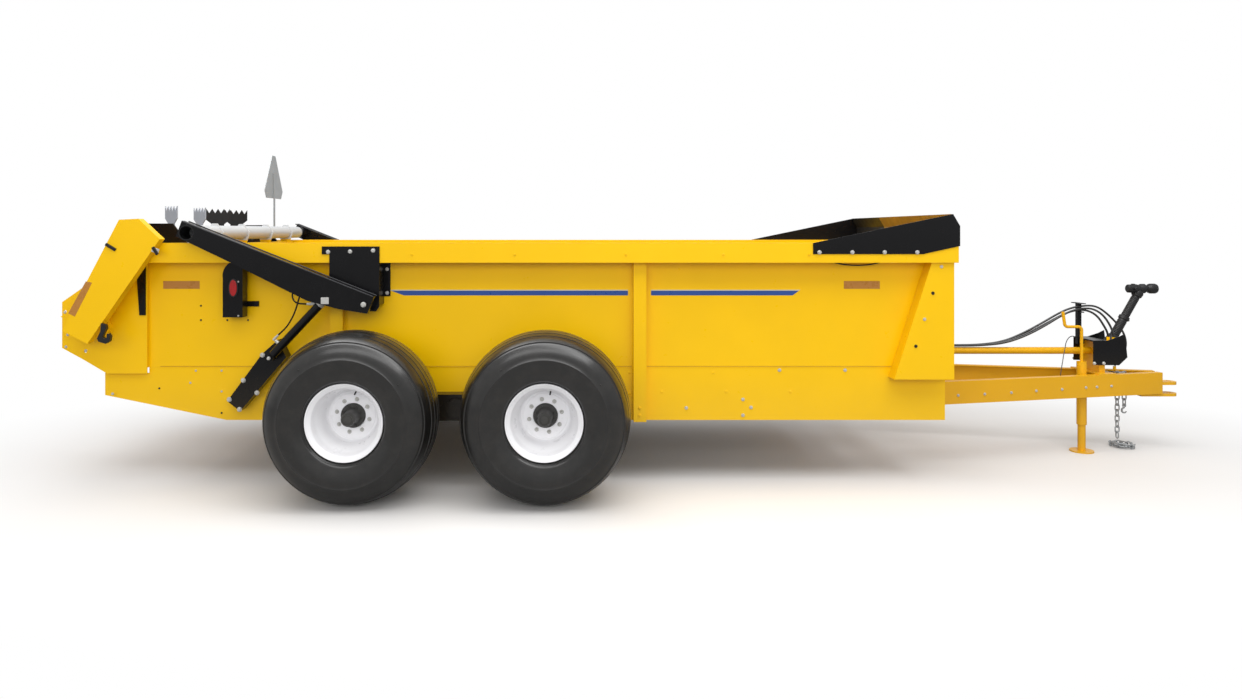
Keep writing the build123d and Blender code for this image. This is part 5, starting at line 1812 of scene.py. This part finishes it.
@dataclass
class DrawbarTrim:
    """Bolts through the drawbar's webs and the drive shield's cheeks."""

    slope: float = 0.22
    beam_flats: float = 0.014
    beam_bolts: tuple[Point, ...] = (
        (2.139, 0.436, 0.481),
        (2.349, 0.390, 0.4815),
        (2.5625, 0.343, 0.483),
        (2.766, 0.298, 0.487),
        (2.979, 0.251, 0.489),
        (3.180, 0.207, 0.4945),
        (3.272, 0.187, 0.495),
        (3.397, 0.159, 0.497),
    )
    shield_y: float = 0.130
    shield_flats: float = 0.017
    shield_bolts: tuple[Pair, ...] = ((3.2884, 0.6605), (3.3583, 0.6605))

    def build(self) -> None:
        """Bolt heads on both beams and both cheeks."""
        for side in Side:
            outward = Vector((self.slope, float(side.value), 0.0)).normalized()
            heads = Shape()
            for place in self.beam_bolts:
                heads.bolt(side.place(*place), outward, self.beam_flats)
            heads.piece(f"drawbar_bolts_{side.word}", ZINC)
            cheek = Shape().bolts(self.shield_bolts, self.shield_y, side, self.shield_flats)
            cheek.piece(f"shield_bolts_{side.word}", ZINC)


@dataclass
class DriveShaft:
    """Guarded drive shaft: joint bell, ribbed tube, cross joint and end yoke with its collar.

    Profiles are pairs of distance along the axis and radius.
    """

    foot: Point = (3.451, 0.0, 0.738)
    lean_deg: float = 60.6
    bell: tuple[Pair, ...] = (
        (-0.012, 0.0),
        (-0.012, 0.030),
        (0.020, 0.034),
        (0.050, 0.036),
        (0.062, 0.049),
        (0.078, 0.049),
        (0.108, 0.041),
        (0.132, 0.0345),
        (0.136, 0.0305),
    )
    collar: tuple[Pair, ...] = ((0.270, 0.0305), (0.272, 0.037), (0.296, 0.037), (0.298, 0.0275))
    top: tuple[Pair, ...] = ((0.470, 0.0275), (0.474, 0.035), (0.502, 0.038), (0.520, 0.030), (0.522, 0.0))
    # Start, end and radius of the tube between the rings.
    lower_ribs: tuple[float, float, float] = (0.140, 0.268, 0.0305)
    upper_ribs: tuple[float, float, float] = (0.302, 0.468, 0.0275)
    rib_pitch: float = 0.012
    rib_height: float = 0.002
    yoke_start: Point = (3.614, 0.0, 1.20802)
    yoke: tuple[Pair, ...] = (
        (0.000, 0.0),
        (0.000, 0.024),
        (0.006, 0.031),
        (0.070, 0.033),
        (0.078, 0.030),
        (0.092, 0.030),
        (0.104, 0.036),
        (0.130, 0.036),
        (0.140, 0.026),
        (0.152, 0.024),
        (0.162, 0.034),
        (0.174, 0.038),
        (0.208, 0.038),
        (0.220, 0.033),
        (0.2235, 0.028),
    )
    bore: float = 0.0175
    bore_start: float = 0.160
    cross_place: float = 0.046
    cross_arms: Pair = (0.048, 0.037)
    cross_radius: float = 0.014
    clasp_place: float = 0.284
    clasp_reach: float = 0.048
    clasp_radius: float = 0.006

    def ribs(self, start: float, stop: float, radius: float) -> list[Pair]:
        """Rounded rings along the guard tube.

        Args:
            start: where the first ring begins.
            stop: where the last one ends.
            radius: radius of the tube between rings.

        Returns:
            Profile points.
        """
        points = []
        while start + self.rib_pitch < stop:
            for share, rise in ((0.0, 0.0), (0.25, self.rib_height), (0.5, self.rib_height), (0.75, 0.0)):
                points.append((start + self.rib_pitch * share, radius + rise))
            start += self.rib_pitch
        return points

    def build(self) -> None:
        """Make the shaft in place of the plain one, and its clasp."""
        lean = radians(self.lean_deg)
        along = Vector((cos(lean), 0.0, sin(lean)))
        across = Vector((sin(lean), 0.0, -cos(lean)))
        guard = [*self.bell, *self.ribs(*self.lower_ribs), *self.collar]
        guard += [*self.ribs(*self.upper_ribs), *self.top]
        shape = Shape().lathe(guard, self.foot, along, steps=40)
        end = self.yoke[-1][0]
        sleeve = [(end, self.bore), (self.bore_start, self.bore), (self.bore_start, 0.0)]
        shape.lathe([*self.yoke, *sleeve], self.yoke_start, FORWARD, steps=40)
        middle = Vector(self.yoke_start) + FORWARD * self.cross_place
        half_y, half_z = self.cross_arms
        for arm in (Vector((0.0, half_y, 0.0)), Vector((0.0, 0.0, half_z))):
            shape.bar(middle - arm, middle + arm, self.cross_radius, steps=20)
        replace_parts(shape.piece("guarded_drive_shaft", PLASTIC, "pto_shaft", sharp_deg=35.0), "pto_shaft")
        clasp = Vector(self.foot) + along * self.clasp_place
        lug = Shape().bar(clasp, clasp + across * self.clasp_reach, self.clasp_radius, steps=14)
        lug.piece("guard_clasp", ZINC, "pto_shaft", bevel_mm=0.8)


@dataclass
class HoseRun:
    """One hose: the points in millimetres that its line follows, its length and its thickness."""

    node: str
    points: tuple[Point, ...]
    length: float
    diameter: float = 0.015

    def build(self) -> None:
        """Lay the hose along its points as one smooth line."""
        points = [tuple(value * MM for value in place) for place in self.points]
        hose = line(f"{self.node}_line", points, self.diameter / 2, HOSE, roundness=5)
        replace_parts(hose, self.node)
        LOG.info("%s laid, %.2f m", self.node, self.length)


# Routes from the front wall to the couplings, and the cable from the post to the drawbar, in millimetres.
HOSES = (
    HoseRun(
        "hose_right",
        (
            (1576, -30, 830),
            (1760, -27, 825),
            (1950, -20, 798),
            (2140, -18, 779),
            (2330, -19, 776),
            (2510, -18, 779),
            (2680, -22, 797),
            (2830, -29, 852),
            (2965, -38, 926),
            (3080, -47, 1002),
            (3165, -52, 1046),
            (3245, -53, 1063),
            (3318, -62, 1062),
            (3385, -77, 1018),
            (3430, -90, 940),
            (3451, -95, 878),
            (3452, -95, 850),
        ),
        2.072,
    ),
    HoseRun(
        "hose_middle",
        (
            (1576, -1, 830),
            (1760, 0, 823),
            (1950, -2, 796),
            (2140, -1, 778),
            (2330, 0, 777),
            (2510, -2, 779),
            (2680, -4, 800),
            (2830, -10, 858),
            (2965, -18, 931),
            (3080, -27, 998),
            (3165, -33, 1038),
            (3245, -34, 1052),
            (3310, -40, 1040),
            (3365, -49, 1000),
            (3405, -58, 930),
            (3431, -62, 876),
            (3432, -62, 850),
        ),
        2.029,
    ),
    HoseRun(
        "hose_loop",
        (
            (1576, 28, 830),
            (1760, 26, 826),
            (1950, 20, 797),
            (2140, 18, 780),
            (2330, 17, 776),
            (2510, 17, 780),
            (2680, 15, 803),
            (2830, 8, 868),
            (2965, -4, 946),
            (3080, -18, 1020),
            (3165, -28, 1062),
            (3245, -31, 1077),
            (3330, -6, 1081),
            (3410, 35, 1066),
            (3480, 64, 1030),
            (3545, 75, 977),
            (3600, 77, 920),
            (3640, 77, 860),
            (3658, 76, 785),
            (3646, 80, 705),
            (3597, 90, 645),
            (3577, 92, 608),
        ),
        2.513,
    ),
    HoseRun(
        "lamp_cable",
        (
            (3228, -8, 838),
            (3196, -20, 852),
            (3155, -36, 846),
            (3120, -56, 812),
            (3096, -84, 768),
            (3070, -112, 722),
            (3046, -140, 672),
            (3024, -162, 622),
            (3010, -176, 574),
            (3004, -194, 536),
            (3000, -216, 520),
            (2998, -237, 517),
        ),
        0.512,
        0.006,
    ),
)


@dataclass
class SafetyChain:
    """Chain thrown over a bar between the beams, with a grab hook and a coil on the ground."""

    shape: Shape = field(default_factory=Shape)
    bar_x: float = 3.547
    bar_z: float = 0.565
    bar_radius: float = 0.006
    bar_half: float = 0.116
    strand_y: float = -0.030
    wire: float = 0.009
    length: float = 0.062
    width: float = 0.038
    pitch: float = 0.0412
    bend_steps: int = 8
    wire_steps: int = 8
    strand_offset: float = 0.0265
    top_link_z: float = 0.5758
    strand_top_z: float = 0.5589
    short_count: int = 6
    long_count: int = 12
    coil_centre: Pair = (3.588, 0.035)
    coil_start_deg: float = 224.0
    coil_radius: float = 0.092
    coil_tighten: float = 0.0027
    coil_pitch: float = 0.037
    coil_count: int = 15
    coil_z: float = 0.018
    coil_rise: float = 0.018
    rise_count: int = 3
    link_lean_deg: float = 45.0
    eye_radius: float = 0.0115
    eye_wire: float = 0.004
    eye_steps: int = 16
    hook_drop: float = 0.036
    neck_drop: float = 0.011
    neck_radius: float = 0.0065
    bend_radius: float = 0.0185
    bend_start_deg: float = 100.0
    bend_step_deg: float = 20.0
    bend_radii: tuple[float, ...] = (
        0.0065,
        0.0065,
        0.0065,
        0.0070,
        0.0070,
        0.0070,
        0.0065,
        0.0065,
        0.0060,
        0.0060,
        0.0050,
        0.0040,
        0.0030,
    )
    rod_steps: int = 10

    def link(self, centre: Vector, along: Vector, across: Vector) -> None:
        """One link of round wire bent to a long ring.

        Args:
            centre: middle of the link.
            along: unit direction of its length.
            across: unit normal of its flat side.
        """
        beside = across.cross(along)
        bend = (self.width - self.wire) / 2
        straight = (self.length - self.wire) / 2 - bend
        rings = []
        for end in (1.0, -1.0):
            for step in range(self.bend_steps + 1):
                turn = pi * (step / self.bend_steps - end / 2)
                out = along * cos(turn) + beside * sin(turn)
                middle = centre + along * straight * end + out * bend
                rings.append(self.shape.ring(middle, out, across, self.wire / 2, self.wire_steps))
        for first, second in zip(rings, rings[1:] + rings[:1]):
            self.shape.skirt(first, second)

    def strand(self, x: float, count: int) -> None:
        """Links hanging straight down, each turned a quarter from the one above.

        Args:
            x: where the strand hangs.
            count: count of links.
        """
        for index in range(count):
            across = FORWARD if index % 2 else -RIGHTWARD
            centre = Vector((x, self.strand_y, self.strand_top_z - index * self.pitch))
            self.link(centre, UPWARD, across)

    def coil(self) -> None:
        """Links lying in a loose coil, each leaning the other way from the last."""
        turn = radians(self.coil_start_deg)
        for index in range(self.coil_count):
            spread = self.coil_radius - self.coil_tighten * index
            outward = Vector((cos(turn), sin(turn), 0.0))
            lean = radians(self.link_lean_deg if index % 2 else -self.link_lean_deg)
            rise = max(0.0, self.coil_rise * (1.0 - index / self.rise_count))
            centre = Vector((*self.coil_centre, self.coil_z + rise)) + outward * spread
            heading = Vector((-outward.y, outward.x, 0.0))
            self.link(centre, heading, outward * sin(lean) + UPWARD * cos(lean))
            turn += self.coil_pitch / spread

    def rod(self, path: list[Vector], radii: Sequence[float]) -> None:
        """Round rod of changing thickness along a path in the plane of the strand.

        Args:
            path: middle points of the rod.
            radii: its radius at each point.
        """
        rings = []
        for index, place in enumerate(path):
            before, after = path[max(index - 1, 0)], path[min(index + 1, len(path) - 1)]
            beside = (after - before).normalized().cross(RIGHTWARD)
            rings.append(self.shape.ring(place, beside, RIGHTWARD, radii[index], self.rod_steps))
        for first, second in zip(rings, rings[1:]):
            self.shape.skirt(first, second)
        self.shape.work.faces.new(rings[0])
        self.shape.work.faces.new(rings[-1])

    def hook(self) -> None:
        """Forged grab hook with an eye, swept along its bend."""
        eye_z = self.strand_top_z - (self.short_count - 1) * self.pitch - (self.length - self.wire) / 2
        eye = Vector((self.bar_x + self.strand_offset, self.strand_y, eye_z))
        turns = [tau * (step % self.eye_steps) / self.eye_steps for step in range(self.eye_steps + 1)]
        ring = [eye + Vector((sin(turn), 0.0, cos(turn))) * self.eye_radius for turn in turns]
        self.rod(ring, [self.eye_wire] * len(ring))
        middle = eye - UPWARD * self.hook_drop
        path = [eye - UPWARD * self.neck_drop]
        for step in range(len(self.bend_radii)):
            turn = radians(self.bend_start_deg + self.bend_step_deg * step)
            path.append(middle + Vector((cos(turn), 0.0, sin(turn))) * self.bend_radius)
        self.rod(path, (self.neck_radius, *self.bend_radii))

    def build(self) -> None:
        """Make the bar, both strands, the hook and the coil as one piece."""
        ends = [(self.bar_x, reach, self.bar_z) for reach in (-self.bar_half, self.bar_half)]
        self.shape.bar(*ends, self.bar_radius)
        self.link(Vector((self.bar_x, self.strand_y, self.top_link_z)), FORWARD, UPWARD)
        self.strand(self.bar_x + self.strand_offset, self.short_count)
        self.strand(self.bar_x - self.strand_offset, self.long_count)
        self.hook()
        self.coil()
        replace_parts(self.shape.piece("chain_and_hook", GALVANISED, sharp_deg=60.0), "safety_chain")


# ---- studio ----------------------------------------------------------------------------------


@dataclass(frozen=True)
class Lamp:
    """Soft rectangular lamp: where it stands, what it looks at, its size, and its power in watts."""

    name: str
    place: Point
    target: Point
    size: Pair
    power: float
    mirrored: bool = True

    def build(self) -> None:
        """Hang the lamp and aim it; one that isn't mirrored stays out of glossy paint."""
        data = bpy.data.lights.new(self.name, "AREA")
        data.shape = "RECTANGLE"
        data.size, data.size_y = self.size
        data.energy = self.power
        lamp = bpy.data.objects.new(self.name, data)
        lamp.location = self.place
        lamp.visible_glossy = self.mirrored
        lamp.rotation_euler = (Vector(self.target) - Vector(self.place)).to_track_quat("-Z", "Y").to_euler()
        bpy.context.scene.collection.objects.link(lamp)


@dataclass
class Studio:
    """Pale floor and backdrop, soft lamps and the camera."""

    floor_reach: float = 60.0
    cloud_mm: float = 900.0
    cloud_tones: tuple[str, str] = ("#E2E0DE", "#E8E6E4")
    bounce: str = "#9B9A99"
    backdrop: str = "#FFFFFF"
    pool: Pair = (4.9, 2.9)
    fade: Pair = (0.66, 1.22)
    sky_strength: float = 0.62
    lamps: tuple[Lamp, ...] = (
        Lamp("overhead_bank", (-0.5, -1.2, 6.2), (-0.2, -0.4, 0.5), (10.5, 3.2), 365.0),
        Lamp("front_bank", (-0.9, -10.0, 3.6), (-0.6, 0.0, 0.8), (12.0, 3.4), 375.0, mirrored=False),
        Lamp("shoulder_bank", (-0.5, -4.8, 6.4), (-0.5, -1.0, 0.8), (10.0, 2.2), 160.0),
    )
    camera_place: Point = (-0.547, -6.5, 1.645)
    lens_mm: float = 24.81
    sensor_mm: float = 36.0
    shift: Pair = (0.0338, -0.0954)

    def seen(self, tree: Tree, path: bpy.types.Node) -> Socket:
        """Share of rays that the eye follows, straight or through glass.

        Args:
            tree: node tree of the floor or the world.
            path: its light path node.

        Returns:
            The share, 1 for such a ray and 0 for any other.
        """
        either = add_node(
            tree,
            "ShaderNodeMath",
            {0: path.outputs["Is Camera Ray"], 1: path.outputs["Is Transmission Ray"]},
            operation="MAXIMUM",
        )
        return either.outputs[0]

    def floor_paint(self) -> bpy.types.Material:
        """Pale matt floor that runs out into the white backdrop away from the machine.

        Returns:
            The material.
        """
        material = bpy.data.materials.new("pale_floor")
        material.use_nodes = True
        tree = material.node_tree
        tree.nodes.clear()
        place = add_node(tree, "ShaderNodeTexCoord").outputs["Object"]
        path = add_node(tree, "ShaderNodeLightPath")
        cloud = add_node(
            tree, "ShaderNodeTexNoise", {"Vector": place, "Scale": per_mm(self.cloud_mm), "Detail": 3.0}
        )
        ramp = add_node(tree, "ShaderNodeValToRGB", {"Fac": cloud.outputs["Fac"]})
        for stop, shade in zip(ramp.color_ramp.elements, self.cloud_tones):
            stop.color = linear(shade)
        # The floor looks pale, and throws less light back up at the machine.
        tone = add_node(
            tree,
            "ShaderNodeMix",
            {"Factor": path.outputs["Is Camera Ray"], 6: linear(self.bounce), 7: ramp.outputs["Color"]},
            data_type="RGBA",
        )
        matt = add_node(tree, "ShaderNodeBsdfPrincipled", {"Base Color": tone.outputs[2], "Roughness": 0.6})
        length, width = self.pool
        stretch = add_node(
            tree, "ShaderNodeVectorMath", {0: place, 1: (1 / length, 1 / width, 0.0)}, operation="MULTIPLY"
        )
        away = add_node(tree, "ShaderNodeVectorMath", {0: stretch.outputs[0]}, operation="LENGTH")
        fade = add_node(
            tree,
            "ShaderNodeMapRange",
            {"Value": away.outputs["Value"], "From Min": self.fade[0], "From Max": self.fade[1]},
            interpolation_type="SMOOTHSTEP",
        )
        seen = self.seen(tree, path)
        share = add_node(tree, "ShaderNodeMath", {0: fade.outputs["Result"], 1: seen}, operation="MULTIPLY")
        white = add_node(tree, "ShaderNodeEmission", {"Color": linear(self.backdrop), "Strength": 1.0})
        mix = add_node(
            tree, "ShaderNodeMixShader", {0: share.outputs[0], 1: matt.outputs[0], 2: white.outputs[0]}
        )
        add_node(tree, "ShaderNodeOutputMaterial", {"Surface": mix.outputs[0]})
        return material

    def floor(self) -> None:
        """Large pale floor that keeps the machine's shadow."""
        mesh = bpy.data.meshes.new("studio_floor")
        reach = self.floor_reach
        corners = [(-reach, -reach, 0.0), (reach, -reach, 0.0), (reach, reach, 0.0), (-reach, reach, 0.0)]
        mesh.from_pydata(corners, [], [(0, 1, 2, 3)])
        mesh.materials.append(self.floor_paint())
        floor = bpy.data.objects.new("studio_floor", mesh)
        bpy.context.scene.collection.objects.link(floor)

    def sky(self) -> None:
        """World that lights softly, and looks white to the eye."""
        world = bpy.data.worlds.new("soft_world")
        bpy.context.scene.world = world
        world.use_nodes = True
        tree = world.node_tree
        tree.nodes.clear()
        seen = self.seen(tree, add_node(tree, "ShaderNodeLightPath"))
        soft, white = (
            add_node(tree, "ShaderNodeBackground", {"Color": linear(self.backdrop), "Strength": strength})
            for strength in (self.sky_strength, 1.0)
        )
        mix = add_node(tree, "ShaderNodeMixShader", {0: seen, 1: soft.outputs[0], 2: white.outputs[0]})
        add_node(tree, "ShaderNodeOutputWorld", {"Surface": mix.outputs[0]})

    def camera(self) -> None:
        """Level camera on the right side of the machine."""
        data = bpy.data.cameras.new("side_camera")
        data.sensor_width = self.sensor_mm
        data.lens = self.lens_mm
        data.shift_x, data.shift_y = self.shift
        camera = bpy.data.objects.new("side_camera", data)
        camera.location = self.camera_place
        camera.rotation_euler = (pi / 2, 0.0, 0.0)
        bpy.context.scene.collection.objects.link(camera)
        bpy.context.scene.camera = camera

    def build(self) -> None:
        """Set up floor, world, lamps and camera."""
        self.floor()
        self.sky()
        for lamp in self.lamps:
            lamp.build()
        self.camera()
        bpy.context.scene.view_settings.view_transform = "Standard"


def main() -> None:
    """Load the frame, dress it, set up the studio and log the hose lengths."""
    logging.basicConfig(level=logging.INFO, format="%(name)s: %(message)s")
    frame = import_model()
    bpy.context.view_layer.update()
    FramePaint(frame["nodes"]).build()
    for axle, axle_x, nut_turn in AXLES:
        for side in Side:
            RoadWheel(axle, side, axle_x, nut_turn).build()
    for trim in (BoxTrim, FrontTrim, GateTrim, GuardTrim, DrawbarTrim, DriveShaft, SafetyChain):
        trim().build()
    for hose in HOSES:
        hose.build()
    Studio().build()


if __name__ == "__main__":
    main()
